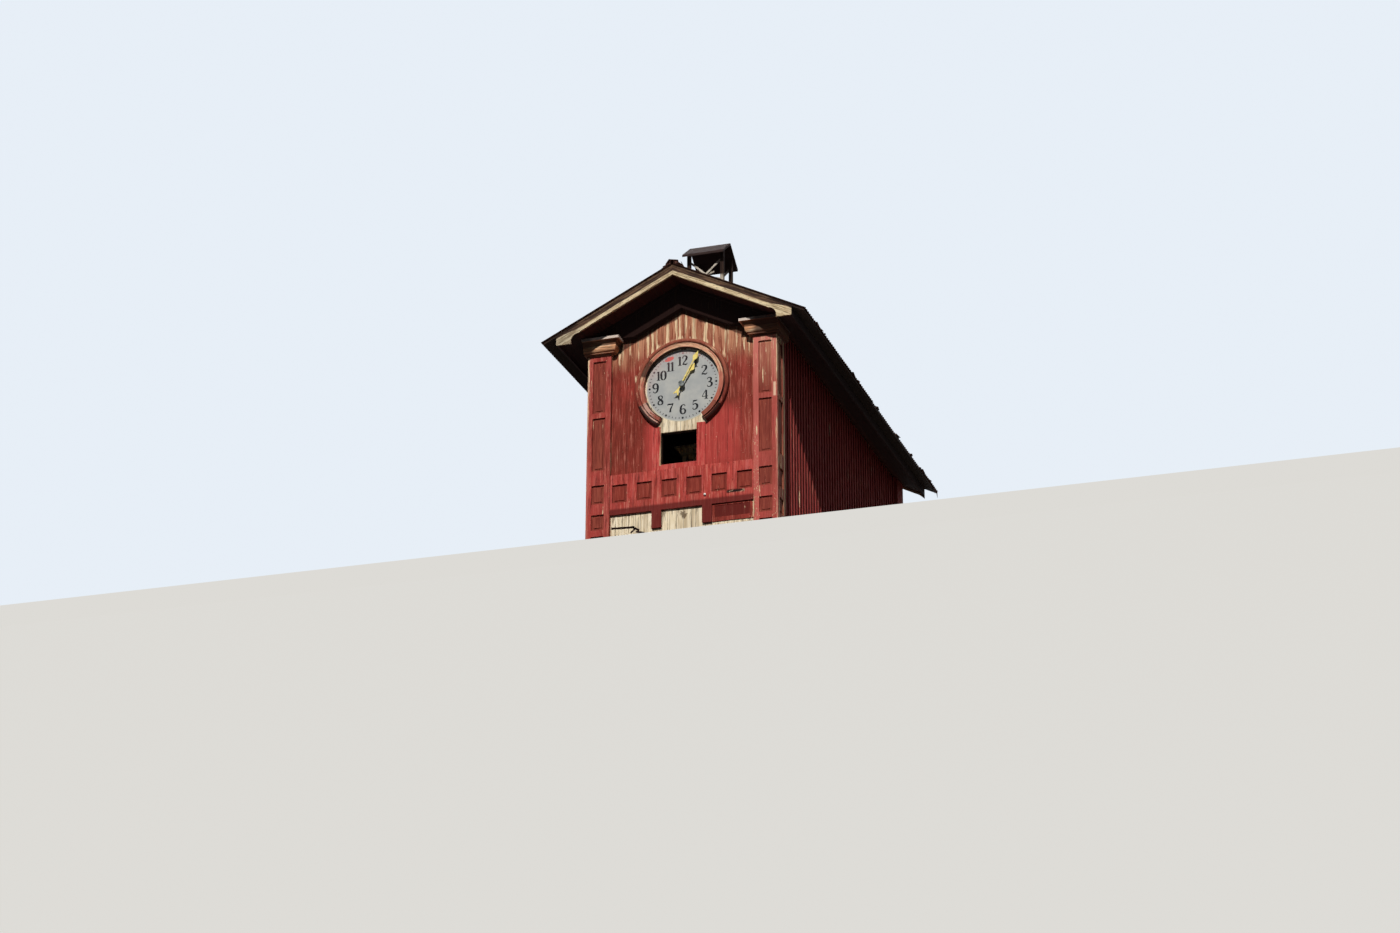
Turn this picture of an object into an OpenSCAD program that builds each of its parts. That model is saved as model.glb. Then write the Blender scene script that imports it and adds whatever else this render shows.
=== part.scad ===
/* [Tower] */
// Width over the corner pilasters
tower_w = 2690; // [2400:10:3000]
// Depth over the corner pilasters
tower_d = 6610; // [5000:10:8000]
// Thickness of a boarded wall with its studs
wall_t = 80; // [60:1:120]
// How far the boarding lies behind the pilaster faces
wall_set = 65; // [50:1:90]
// Thickness of the floor boards
floor_t = 40; // [25:1:60]
// Height of the floor's underside over the lower edge of the walls
floor_lift = 0; // [0:1:200]

/* [Wall battens] */
// Thickness of the battens over the joints of the side and rear boards
batten_t = 22; // [12:1:30]
// Width of a batten
batten_w = 42; // [30:1:60]
// Greatest distance from one batten to the next, centre lines
batten_step = 130; // [110:1:300]

/* [Roof] */
// Height of the sheets over the pilaster shafts, above the pilasters' outer side
eave_rise = 395.2; // [390:0.1:480]
// Slope of the roof in degrees
pitch = 26.3; // [22:0.1:32]
// Overhang of the sheets beyond the pilasters' sides
eave_out = 533; // [450:1:600]
// Overhang of the sheets in front of the pilasters
overhang = 430; // [250:5:500]
// Overhang of the sheets behind the rear posts
rear_overhang = 125; // [110:5:300]
// Depth of the corrugations
sheet_d = 18; // [12:1:25]
// Width of one corrugation
wave_w = 76; // [60:1:100]
// Thickness of the sheet steel
sheet_t = 1.5; // [1:0.1:3]
// Corrugations on a sheet
waves = 9; // [6:1:12]
// How far the short sheets stay behind the others at the eaves
sheet_short = 22; // [0:1:40]
// Distance of the sheets' upper ends from the ridge line, along the slope
ridge_gap = 15; // [12:1:24]
// Clearance between one layer of the roof and the next
lay_gap = 0.1; // [0.05:0.05:0.3]
// How far the sheets pass the boards at the eaves
sheet_lip = 30; // [10:1:60]
// Thickness of the roof boards
deck_t = 22; // [18:1:32]
// How far the roof boards stay behind the ends of the sheets
deck_set = 30; // [10:1:60]
// Depth of a rafter
rafter_d = 70; // [60:5:90]
// Width of a rafter
rafter_w = 50; // [40:5:80]
// Thickness of the soffit boards under the rafters
soffit_t = 15; // [10:1:20]
// Depth of the raking frieze under the front soffit
rake_d = 318; // [200:1:340]
// Projection of the raking frieze from the boarding
rake_out = 90; // [50:1:180]
// Depth of the fillet along the top of the raking frieze
rake_fillet_d = 40; // [20:1:60]
// Projection of the fillet from the raking frieze
rake_fillet_out = 22; // [10:1:40]
// Thickness of the boards along the eaves
fascia_t = 25; // [18:1:40]
// Number of rafter pairs between the gable walls
rafter_count = 9; // [5:1:13]
// Depth of the ridge board
ridge_board_d = 170; // [140:5:220]
// Thickness of the ridge board
ridge_board_t = 40; // [30:1:60]
// Height of a wall plate at its outer side
plate_h = 60; // [40:5:100]
// Half width of the ridge cap
cap_w = 150; // [100:5:200]
// Thickness of the ridge cap
cap_t = 3; // [2:0.5:5]
// Radius of the roll along the ridge cap
roll_r = 30; // [20:1:40]

/* [Barge boards] */
// Thickness of a barge board
barge_t = 25; // [18:1:40]
// Depth of a barge board
barge_d = 115; // [90:1:150]
// How far a barge board stays behind the ends of the roof boards
barge_set = 5; // [2:1:20]
// Distance of a barge board's end inside the eaves
barge_in = 212; // [180:1:250]
// Width of a barge board's foot
foot_w = 215; // [180:1:240]
// Height of the barge foot's underside over the pilaster shafts
foot_up = 70; // [60:1:110]
// Radius of the hollow above the barge foot
foot_r = 115; // [100:1:130]
// Height of the hollow's centre over the foot
foot_rise = 35; // [20:1:50]
// Width of the tooth at the end of a rear barge board
tooth_w = 80; // [50:1:120]

/* [Pilasters] */
// Width of a pilaster's front and side faces
pilaster_w = 335; // [280:1:380]
// Height of a pilaster's shaft
pilaster_h = 3550; // [3400:1:3800]
// Height left above the top panel of a pilaster
panel_top = 70; // [50:1:100]
// Width of the stiles beside the recessed panels
stile_w = 77; // [60:1:90]
// Depth of the recessed panels
panel_sink = 23; // [8:1:30]
// Width of the margin round the field of a panel
panel_margin = 36; // [20:1:45]
// Height of the field over its margin
field_rise = 9; // [2:1:14]
// Height of the capital
capital_h = 225; // [200:1:260]
// Projection of the capital's top fillet
capital_out = 155; // [130:1:170]
// Projection of the capital's outer end, where it is cut off under the eaves
capital_side = 45; // [20:1:100]
// Projection of the capital's round moulding
ovolo_out = 92; // [70:1:110]
// Projection of the fillet under the round moulding
fillet_out = 52; // [30:1:60]

/* [Window] */
// Left side of the window opening from the middle
window_x0 = -312; // [-340:1:-280]
// Right side of the window opening from the middle
window_x1 = 200; // [170:1:230]
// Height of the window's sill
window_z0 = 1880; // [1850:1:1950]
// Height of the window's head
window_z1 = 2345; // [2250:1:2400]
// Width of the boards beside the window opening
trim_w = 118; // [90:1:140]
// Thickness of the boards beside the window
trim_t = 15; // [10:1:25]
// Height of the upper ends of the boards beside the window
trim_top = 2430; // [2400:1:2435]

/* [Frieze] */
// Height of the top of the frieze
frieze_top = 1800; // [1780:1:1840]
// Thickness of the frieze
frieze_t = 40; // [24:1:50]
// Height of the frieze's top rail
frieze_rail = 143; // [120:1:160]
// Height of the frieze panels
frieze_panel_h = 257; // [220:1:280]
// Width of a frieze panel
frieze_panel_w = 212; // [190:1:230]
// Number of frieze panels
frieze_panels = 6; // [4:1:7]
// Distance of the outer panels from the pilasters
frieze_margin = 27; // [15:1:60]
// Height of the frieze's bottom rail
frieze_foot = 170; // [140:1:200]
// Height of the apron stiles below the frieze
apron_h = 248; // [200:1:300]
// Width of an apron stile
apron_stile_w = 135; // [110:1:160]
// Distance of the apron stiles from the middle, centre line
apron_stile_x = 354; // [330:1:380]
// Thickness of the apron panel
apron_panel_t = 12; // [8:1:16]

/* [Clock] */
// Height of the dial's centre
dial_z = 3000; // [2980:1:3020]
// Radius of the dial
dial_r = 520; // [480:1:530]
// Thickness of the dial
dial_t = 7; // [5:1:20]
// Inner radius of the ring round the dial
ring_in = 535; // [532:1:545]
// Outer radius of the ring round the dial
ring_out = 665; // [650:1:680]
// Projection of the ring from the boarding
ring_t = 75; // [45:1:85]
// Width of the ring's inner band
band_w = 62; // [50:1:70]
// Width of the groove outside the inner band
groove_w = 8; // [5:1:12]
// Start of the ring's left loose piece in degrees, anticlockwise from the right
left_break = 205; // [195:1:215]
// End of the ring's left loose piece in degrees
left_end = 237.5; // [230:0.5:245]
// Start of the ring's right loose piece in degrees below the right
right_break = 33.5; // [25:0.5:40]
// End of the ring's right loose piece in degrees below the right
right_end = 58.5; // [50:0.5:65]
// Joint in the ring's upper right in degrees, anticlockwise from the right
right_joint = 58; // [40:1:70]
// Joint in the ring's upper left in degrees
left_joint = 137; // [120:1:150]
// Width of the cracks in the ring in degrees
crack = 0.5; // [0.2:0.1:1]
// Angle of the minute hand from twelve, clockwise in degrees
minute_deg = 28; // [0:1:359]
// Hour that the hour hand has passed
hour = 1; // [0:1:11]
// Length of the minute hand from its axis
minute_len = 512; // [480:1:515]
// Length of the minute hand's tail
minute_tail = 175; // [140:1:200]
// Length of the hour hand from its axis
hour_len = 338; // [300:1:380]
// Thickness of a hand
hand_t = 4; // [3:0.5:6]
// Distance from the dial to the hour hand
hour_gap = 42; // [30:1:46]
// Distance between the two hands
hand_gap = 16; // [10:1:24]
// Radius of the cap over the hands' centre
cap_r = 42; // [30:1:50]
// Radius of the minute hand's arbor
arbor_r = 8; // [6:0.5:10]
// Wall of the hour hand's pipe
pipe_wall = 5; // [4:0.5:8]
// Radius of the bush in the wall
bush_r = 30; // [24:1:40]
// Distance from the bush to the hour hand
bush_set = 10; // [5:1:20]
// How far the bush passes the wall's inner face
bush_end = 5; // [2:1:20]
// How far the hour hand's pipe passes the wall's inner face
pipe_end = 40; // [25:1:60]
// How far the arbor passes the end of the pipe
arbor_end = 30; // [15:1:60]
// Width of the shaft of a hand
shaft_w = 17; // [12:1:24]
// Width of the hour hand's leaf
hour_leaf = 84; // [60:1:100]
// Width of the minute hand's leaf
minute_leaf = 74; // [50:1:90]
// Width of the minute hand's forked tail
tail_w = 84; // [60:1:100]
// Width of the boss round the hour hand's pipe
boss_w = 12; // [8:1:20]
// Thickness of the cap over the hands' centre
boss_t = 10; // [6:1:16]
// Running clearance of the arbor and the pipe
run_gap = 0.3; // [0.1:0.05:0.4]

/* [Clock case] */
// Width of the case that holds the movement
case_w = 646; // [560:1:720]
// Depth of the case
case_depth = 450; // [350:5:600]
// Height of the case over the floor
case_h = 2450; // [2350:5:2500]
// Distance of the case's front behind the pilaster faces
case_y = 1000; // [800:10:1400]
// Height of the case's cornice
cornice_h = 115; // [90:1:140]
// Overhang of the case's cornice
cornice_out = 85; // [60:1:100]
// Overhang of the step below the cornice
step_out = 30; // [20:1:50]
// Width of the frame round the case's door
case_stile = 68; // [50:1:90]
// Depth of the case's door behind its frame
case_sink = 15; // [8:1:25]

/* [Bell cote] */
// Distance of the bell cote's ridge behind the pilaster faces
cote_y = 1230; // [1000:10:1600]
// Half length of the bell cote's ridge
cote_half = 300; // [260:1:340]
// Height of the bell cote's ridge over the main ridge
cote_rise = 1000; // [900:5:1100]
// Half width of the bell cote's roof in plan
cote_run = 345; // [300:1:380]
// Slope of the bell cote's roof in degrees
cote_pitch = 36; // [30:1:42]
// Thickness of the bell cote's roof
cote_t = 28; // [20:1:40]
// Distance of the posts from the middle
post_x = 244; // [220:1:260]
// Distance of the posts from the cote's ridge line
post_y = 195; // [170:1:220]
// Side of a post
post_w = 50; // [40:1:70]
// Height of a saddle board over the ridge
saddle_h = 60; // [40:1:90]
// Width of a brace
brace_w = 28; // [20:1:40]
// Thickness of a brace
brace_t = 15; // [10:1:20]
// Height of the crossing of the braces over the main ridge
brace_up = 470; // [430:1:480]
// Slope of the braces in degrees
brace_deg = 43; // [38:1:48]

/* [Hidden] */
$fn = 64;
seat = 0.3;
half_w = tower_w / 2;
slope = tan(pitch);
roof_l = overhang + tower_d + rear_overhang;
roof_half = half_w + eave_out;
ridge_z = pilaster_h + eave_rise + half_w * slope;
front_y = overhang - roof_l / 2;
wall_x = half_w - wall_set;
inner_x = wall_x - wall_t;
face_y = wall_set;
wall_y1 = tower_d - wall_set;

// Corrugations of one slope, and how far a lapped sheet lies over its neighbour
wave_count = round(roof_l / wave_w);
wave_l = roof_l / wave_count;
lap_lift = (sheet_t + lay_gap) / cos(atan(PI * (sheet_d - sheet_t) / wave_l));

// Depths of the roof's layers below the sheets' top
deck_drop = sheet_d + lap_lift + lay_gap;
deck_low = deck_drop + deck_t;
rafter_drop = deck_low + lay_gap;
rafter_low = rafter_drop + rafter_d;
soffit_drop = rafter_low + lay_gap;
soffit_low = soffit_drop + soffit_t;
head_drop = soffit_low + lay_gap;

sheet_y0 = -overhang;
sheet_y1 = roof_l - overhang;
deck_y0 = sheet_y0 + deck_set;
deck_y1 = sheet_y1 - deck_set;
deck_half = roof_half - sheet_lip;
barge_y0 = deck_y0 + barge_set;
barge_y1 = deck_y1 - barge_set - barge_t;
barge_end = roof_half - barge_in;
foot_z = pilaster_h + foot_up;
foot_x = barge_end - foot_w - sqrt(foot_r * foot_r - foot_rise * foot_rise);
plate_z = under(wall_x, soffit_drop) - plate_h;
fascia_x = barge_end - fascia_t;
capital_top = pilaster_h + capital_h;
dial_y = face_y - dial_t;
hour_y = dial_y - hour_gap;
minute_y = hour_y - hand_gap - hand_t;
pipe_in = arbor_r + run_gap;
pipe_out = pipe_in + pipe_wall;
hour_deg = hour * 30 + minute_deg / 12;
frieze_low = frieze_top - frieze_rail - frieze_panel_h;
apron_top = frieze_low - frieze_foot;
pilaster_in = half_w - pilaster_w;
cote_slope = tan(cote_pitch);
roll_z = ridge_z + roll_r / 2;
cote_ridge = ridge_z + cote_rise;
brace_z = ridge_z + brace_up;

// Lower and upper heights of the panels in a pilaster
PANELS = [
    [330, 940], [1030, 1247], [1400, 1670], [1880, 2645], [2720, pilaster_h - panel_top]
];

// Height of a surface that lies a given depth below the sheets' top
function under(x, drop) = ridge_z - abs(x) * slope - drop / cos(pitch);

// Puts what is drawn from the pilasters' front face into the part's frame
module placed() {
    translate([0, front_y, 0]) children();
}

// Extrudes an outline of widths and heights from y0 to y1
module prism(y0, y1) {
    translate([0, y1, 0]) rotate([90, 0, 0]) linear_extrude(y1 - y0) children();
}

// The same on one side: side is -1 on the left and 1 on the right
module sided(side) {
    mirror([side < 0 ? 1 : 0, 0, 0]) children();
}

// Layer of the right roof slope between two depths, from x0 to x1
module slope_layer(x0, x1, drop0, drop1) {
    polygon([
        [x0, under(x0, drop0)], [x1, under(x1, drop0)],
        [x1, under(x1, drop1)], [x0, under(x0, drop1)]
    ]);
}

module floor() {
    color("#8a7a66") placed()
        translate([-inner_x, face_y + wall_t, floor_lift])
            cube([2 * inner_x, tower_d - 2 * (face_y + wall_t), floor_t]);
}

// Outline of a gable wall under the roof boards
module gable_outline() {
    polygon([
        [-inner_x, 0], [inner_x, 0], [inner_x, under(inner_x, rafter_drop)],
        [0, under(0, rafter_drop)], [-inner_x, under(inner_x, rafter_drop)]
    ]);
}

// Part of the front wall between two widths and two heights
module front_wall_part(x0, x1, z0, z1) {
    color("#9c3229") placed() prism(face_y, face_y + wall_t) intersection() {
        gable_outline();
        translate([x0, z0]) square([x1 - x0, z1 - z0]);
    }
}

module front_wall_left() { front_wall_part(-inner_x, window_x0, 0, ridge_z); }

module front_wall_right() { front_wall_part(window_x1, inner_x, 0, ridge_z); }

module front_wall_apron() { front_wall_part(window_x0, window_x1, 0, window_z0); }

module front_gable() {
    difference() {
        front_wall_part(window_x0, window_x1, window_z1, ridge_z);
        placed() prism(face_y - 1, face_y + wall_t + 1)
            translate([0, dial_z]) circle(bush_r + seat);
    }
}

// Middles of the battens between two ends, with half a step left at each end
function batten_places(from, to) = let (count = ceil((to - from) / batten_step)) [
    for (i = [0 : count - 1]) from + (to - from) * (i + 0.5) / count
];

// Side wall with its battens, drawn in plan and raised
module side_wall(side) {
    battens = batten_places(pilaster_w, tower_d - pilaster_w);
    color("#8e2f28") placed() sided(side) linear_extrude(plate_z)
        polygon(concat(
            [[inner_x, face_y], [wall_x, face_y]],
            [for (y = battens) each [
                [wall_x, y - batten_w / 2], [wall_x + batten_t, y - batten_w / 2],
                [wall_x + batten_t, y + batten_w / 2], [wall_x, y + batten_w / 2]
            ]],
            [[wall_x, wall_y1], [inner_x, wall_y1]]
        ));
}

module side_wall_left() { side_wall(-1); }

module side_wall_right() { side_wall(1); }

module rear_wall() {
    color("#8e2f28") placed() {
        prism(wall_y1 - wall_t, wall_y1) gable_outline();
        prism(wall_y1 - 1, wall_y1 + batten_t) intersection() {
            under_rear_soffit();
            for (x = batten_places(-pilaster_in, pilaster_in))
                translate([x - batten_w / 2, 0]) square([batten_w, ridge_z]);
        }
    }
}

// Outline of what stands under both slopes of the rear soffit
module under_rear_soffit() {
    polygon([
        [-pilaster_in, 0], [pilaster_in, 0], [pilaster_in, under(pilaster_in, head_drop)],
        [0, under(0, head_drop)], [-pilaster_in, under(pilaster_in, head_drop)]
    ]);
}

// Recess of one panel round its raised field, drawn from the recess's lower corner
module panel_recess(w, h) {
    difference() {
        translate([0, -1, 0]) cube([w, panel_sink + 1, h]);
        translate([panel_margin, panel_sink - field_rise, panel_margin])
            cube([w - 2 * panel_margin, field_rise + 1, h - 2 * panel_margin]);
    }
}

// Panels of one pilaster face, drawn from the face's corner
module panel_recesses() {
    for (z = PANELS)
        translate([stile_w, 0, z[0]]) panel_recess(pilaster_w - 2 * stile_w, z[1] - z[0]);
}

// Pilaster that wraps round a front corner
module pilaster(side) {
    color("#a53a30") placed() sided(side) difference() {
        translate([pilaster_in, 0, 0]) cube([pilaster_w, pilaster_w, pilaster_h]);
        translate([pilaster_in - 1, wall_set, -1])
            cube([pilaster_w - wall_set + 1, pilaster_w, pilaster_h + 2]);
        translate([pilaster_in, 0, 0]) panel_recesses();
        translate([half_w, 0, 0]) rotate(90) panel_recesses();
    }
}

module pilaster_left() { pilaster(-1); }

module pilaster_right() { pilaster(1); }

// Outline of what stands under the soffit, from x0 to x1 and up from z0
module under_soffit(x0, x1, z0) {
    polygon([[x0, z0], [x1, z0], [x1, under(x1, head_drop)], [x0, under(x0, head_drop)]]);
}

// Plain corner post that wraps round a rear corner and ends under the soffit
module rear_post(side) {
    color("#a53a30") placed() sided(side) difference() {
        prism(tower_d - pilaster_w, tower_d) under_soffit(pilaster_in, half_w, 0);
        translate([pilaster_in - 1, wall_y1 - pilaster_w, -1])
            cube([pilaster_w - wall_set + 1, pilaster_w, ridge_z]);
    }
}

module rear_post_left() { rear_post(-1); }

module rear_post_right() { rear_post(1); }

// Outer line of the capital's mouldings from the bottom up: projection and height
function capital_line() = let (
    fillet_z = capital_h * 0.18, ovolo_h = capital_h * 0.3, cove_z = capital_h * 0.55,
    cove_h = capital_h * 0.28, cove_out = capital_out - 5 - ovolo_out
) [
    [12, 0], [12, capital_h * 0.1], [fillet_out, capital_h * 0.1], [fillet_out, fillet_z],
    for (a = [0 : 15 : 90])
        [fillet_out + (ovolo_out - fillet_out) * sin(a), fillet_z + ovolo_h * (1 - cos(a))],
    for (a = [0 : 15 : 90])
        [ovolo_out + cove_out * (1 - cos(a)), cove_z + cove_h * sin(a)],
    [capital_out, cove_z + cove_h], [capital_out, capital_h]
];

// Moulded block: a line of projections and heights carried round a width w
module moulded(line, w) {
    polygon(concat(
        [for (p = line) [w + p[0], p[1]]],
        [for (i = [len(line) - 1 : -1 : 0]) [-line[i][0], line[i][1]]]
    ));
}

// Capital on the head of a front pilaster, under the soffit and cut off at its outer end.
// Behind the pilaster it is cut back to pass over the battens.
module capital(side) {
    reach = capital_out + 1;
    rear_x = wall_x + batten_t + lay_gap;
    color("#b8705a") placed() sided(side) difference() {
        intersection() {
            prism(-reach, pilaster_w + reach)
                translate([pilaster_in, pilaster_h]) moulded(capital_line(), pilaster_w);
            translate([pilaster_in - reach, 0, pilaster_h]) rotate([90, 0, 90])
                linear_extrude(pilaster_w + reach + capital_side)
                    moulded(capital_line(), pilaster_w);
            prism(-reach, pilaster_w + reach)
                under_soffit(pilaster_in - reach, half_w + reach, pilaster_h);
        }
        translate([pilaster_in - reach, wall_set, pilaster_h - 1])
            cube([pilaster_w + reach - wall_set, pilaster_w + reach, capital_h + 2]);
        translate([0, pilaster_w, pilaster_h - 1]) cube([rear_x, reach, capital_h + 2]);
    }
}

module capital_left() { capital(-1); }

module capital_right() { capital(1); }

// Band of recessed panels below the window
module frieze() {
    inside = 2 * pilaster_in;
    step = (inside - 2 * frieze_margin - frieze_panel_w) / (frieze_panels - 1);
    color("#ac3a33") placed() difference() {
        translate([-pilaster_in, face_y - frieze_t, apron_top])
            cube([inside, frieze_t, frieze_top - apron_top]);
        for (i = [0 : frieze_panels - 1])
            translate([frieze_margin - pilaster_in + i * step, face_y - frieze_t, frieze_low])
                panel_recess(frieze_panel_w, frieze_panel_h);
    }
}

module apron_stiles() {
    color("#a53a30") placed() for (side = [-1, 1])
        translate([side * apron_stile_x - apron_stile_w / 2, face_y - frieze_t, apron_top - apron_h])
            cube([apron_stile_w, frieze_t, apron_h]);
}

module apron_panel() {
    x0 = apron_stile_x + apron_stile_w / 2;
    color("#9c3229") placed()
        translate([x0, face_y - apron_panel_t, apron_top - apron_h])
            cube([pilaster_in - x0, apron_panel_t, apron_h]);
}

// Boards beside and below the window
module window_boards() {
    opening = window_x1 - window_x0;
    color("#b23c36") placed() prism(face_y - trim_t, face_y) difference() {
        translate([window_x0 - trim_w, frieze_top])
            square([opening + 2 * trim_w, trim_top - frieze_top]);
        translate([window_x0, window_z0]) square([opening, trim_top]);
    }
}

module dial() {
    color("#a9adb0") placed() prism(dial_y, face_y) translate([0, dial_z]) difference() {
        circle(dial_r, $fn = 128);
        circle(bush_r + seat);
    }
}

// Section of the ring: radius across, projection up
module ring_section() {
    lip_w = ring_out - ring_in - band_w - groove_w;
    translate([ring_in, 0]) square([band_w, ring_t]);
    translate([ring_in, 0]) square([ring_out - ring_in, ring_t - lip_w / 2]);
    intersection() {
        translate([ring_out - lip_w / 2, ring_t - lip_w / 2]) circle(lip_w / 2);
        translate([ring_in, 0]) square([ring_out, ring_t]);
    }
}

// Piece of the ring from angle a0 to angle a1
module ring_piece(a0, a1) {
    color("#a8483b") placed() translate([0, face_y, dial_z]) rotate([90, 0, 0])
        rotate(a0) rotate_extrude(angle = a1 - a0, $fn = 128) ring_section();
}

module dial_ring() {
    ends = [-right_break, right_joint, left_joint, left_break];
    for (i = [0 : len(ends) - 2]) ring_piece(ends[i] + crack, ends[i + 1]);
}

module ring_pieces() {
    ring_piece(left_break + crack, left_end);
    ring_piece(-right_end, -right_break);
}

module dial_bush() {
    color("#6d7072") placed() prism(hour_y + bush_set, face_y + wall_t + bush_end)
        translate([0, dial_z]) difference() {
            circle(bush_r);
            circle(pipe_out + run_gap);
        }
}

// Leaf outline that ends in a point: from r0 to r1 with its greatest width at rm
module leaf(r0, rm, r1, w0, w) {
    polygon([
        [-w0 / 2, r0], [-w / 2 * 0.8, (r0 + rm) / 2], [-w / 2, rm],
        [0, r1],
        [w / 2, rm], [w / 2 * 0.8, (r0 + rm) / 2], [w0 / 2, r0]
    ]);
}

module hour_hand() {
    color("#d8c46a") placed() {
        prism(hour_y - hand_t, hour_y) translate([0, dial_z]) difference() {
            rotate(-hour_deg) union() {
                circle(pipe_out + boss_w);
                translate([-shaft_w / 2, 0]) square([shaft_w, hour_len * 0.66]);
                leaf(hour_len * 0.64, hour_len * 0.78, hour_len, shaft_w, hour_leaf);
            }
            circle(pipe_in);
        }
        prism(hour_y - hand_t * 1.5, face_y + wall_t + pipe_end) translate([0, dial_z])
            difference() {
                circle(pipe_out);
                circle(pipe_in);
            }
    }
}

module minute_hand() {
    half = shaft_w / 2;
    color("#e6d682") placed() {
        prism(minute_y - hand_t, minute_y) translate([0, dial_z]) rotate(-minute_deg) union() {
            circle(cap_r * 0.8);
            translate([-half, 0]) square([shaft_w, minute_len * 0.72]);
            leaf(minute_len * 0.7, minute_len * 0.83, minute_len, shaft_w, minute_leaf);
            translate([-half, -minute_tail * 0.7]) square([shaft_w, minute_tail * 0.7]);
            polygon([
                [-half, -minute_tail * 0.45], [-tail_w / 2, -minute_tail], [0, -minute_tail * 0.82],
                [tail_w / 2, -minute_tail], [half, -minute_tail * 0.45]
            ]);
        }
        prism(minute_y - hand_t - boss_t, minute_y) translate([0, dial_z]) circle(cap_r);
        prism(minute_y, face_y + wall_t + pipe_end + arbor_end) translate([0, dial_z])
            circle(arbor_r);
    }
}

module clock_case() {
    x0 = -case_w / 2;
    body_h = case_h - cornice_h;
    color("#5a3a28") placed() translate([0, case_y, floor_lift + floor_t]) difference() {
        translate([x0, 0, 0]) cube([case_w, case_depth, body_h]);
        translate([x0 + case_stile, -1, case_stile])
            cube([case_w - 2 * case_stile, case_sink + 1, body_h - 2 * case_stile]);
    }
}

// Outer line of the case's cornice from the bottom up: projection and height
function cornice_line() = let (cove_out = cornice_out - step_out, cove_h = cornice_h * 0.5) [
    [step_out * 0.6, 0], [step_out * 0.6, cornice_h * 0.15],
    for (a = [0 : 15 : 90])
        [step_out + cove_out * (1 - cos(a)), cornice_h * 0.25 + cove_h * sin(a)],
    [cornice_out, cornice_h * 0.75], [cornice_out, cornice_h]
];

module case_cornice() {
    reach = cornice_out + 1;
    color("#6a4632") placed()
        translate([-case_w / 2, case_y, floor_lift + floor_t + case_h - cornice_h])
            intersection() {
                prism(-reach, case_depth) moulded(cornice_line(), case_w);
                translate([-reach, 0, 0]) rotate([90, 0, 90])
                    linear_extrude(case_w + 2 * reach) moulded(cornice_line(), 2 * case_depth);
            }
}

module wall_plates() {
    color("#4b3a30") placed() for (side = [-1, 1]) sided(side)
        prism(face_y, wall_y1) polygon([
            [inner_x, plate_z], [wall_x, plate_z],
            [wall_x, under(wall_x, soffit_drop)], [inner_x, under(inner_x, soffit_drop)]
        ]);
}

// Rafter pairs between the gable walls and one pair behind each barge board
module rafters() {
    first = face_y + wall_t;
    step = (wall_y1 - wall_t - rafter_w - first) / (rafter_count - 1);
    places = concat(
        [barge_y0 + barge_t, barge_y1 - rafter_w],
        [for (i = [0 : rafter_count - 1]) first + i * step]
    );
    color("#4b3a30") placed() for (y = places, side = [-1, 1])
        sided(side) prism(y, y + rafter_w)
            slope_layer(ridge_board_t / 2, fascia_x, rafter_drop, rafter_low);
}

module ridge_board() {
    top = under(ridge_board_t / 2, rafter_drop);
    color("#4b3a30") placed()
        translate([-ridge_board_t / 2, face_y + wall_t, top - ridge_board_d])
            cube([ridge_board_t, tower_d - 2 * (face_y + wall_t), ridge_board_d]);
}

module roof_boards(side) {
    color("#4b3a30") placed() sided(side) prism(deck_y0, deck_y1)
        slope_layer(0, deck_half, deck_drop, deck_low);
}

module roof_boards_left() { roof_boards(-1); }

module roof_boards_right() { roof_boards(1); }

// Boards under the rafters, outside the walls
module soffits() {
    color("#4b3a30") placed() for (side = [-1, 1]) sided(side) difference() {
        prism(barge_y0 + barge_t, barge_y1) slope_layer(0, fascia_x, soffit_drop, soffit_low);
        translate([-1, face_y, 0]) cube([wall_x + 1, wall_y1 - face_y, ridge_z]);
    }
}

// Layer of the front soffit's frieze that stands on the capitals' tops
module rake_layer(out, drop0, drop1) {
    reach = half_w + capital_side;
    for (side = [-1, 1]) sided(side) prism(face_y - out, face_y) intersection() {
        slope_layer(0, reach, drop0, drop1);
        translate([0, capital_top + lay_gap]) square([reach, ridge_z]);
    }
}

// Raking frieze on the front boarding: a deep band and a fillet along its top
module rake_frieze() {
    color("#4b3a30") placed() {
        rake_layer(rake_out, head_drop, head_drop + rake_d);
        rake_layer(rake_out + rake_fillet_out, head_drop, head_drop + rake_fillet_d);
    }
}

// Boards along the eaves, flush with the feet of the barge boards
module fascias() {
    color("#4b3a30") placed() for (side = [-1, 1]) sided(side)
        prism(barge_y0 + barge_t, barge_y1) polygon([
            [fascia_x, foot_z], [barge_end, foot_z],
            [barge_end, under(barge_end, rafter_drop)], [fascia_x, under(fascia_x, rafter_drop)]
        ]);
}

// Depth of the corrugations below their crests at a distance along the ridge
function wave(y) = (sheet_d - sheet_t) * (1 - cos(360 * y / wave_l)) / 2;

// Section of a corrugated sheet from corrugation n0 to corrugation n1
module sheet_section(n0, n1) {
    steps = 6;
    stations = [for (i = [n0 * steps : n1 * steps]) i * wave_l / steps];
    polygon(concat(
        [for (y = stations) [y, -wave(y)]],
        [for (i = [len(stations) - 1 : -1 : 0]) [stations[i], -wave(stations[i]) - sheet_t]]
    ));
}

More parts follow.
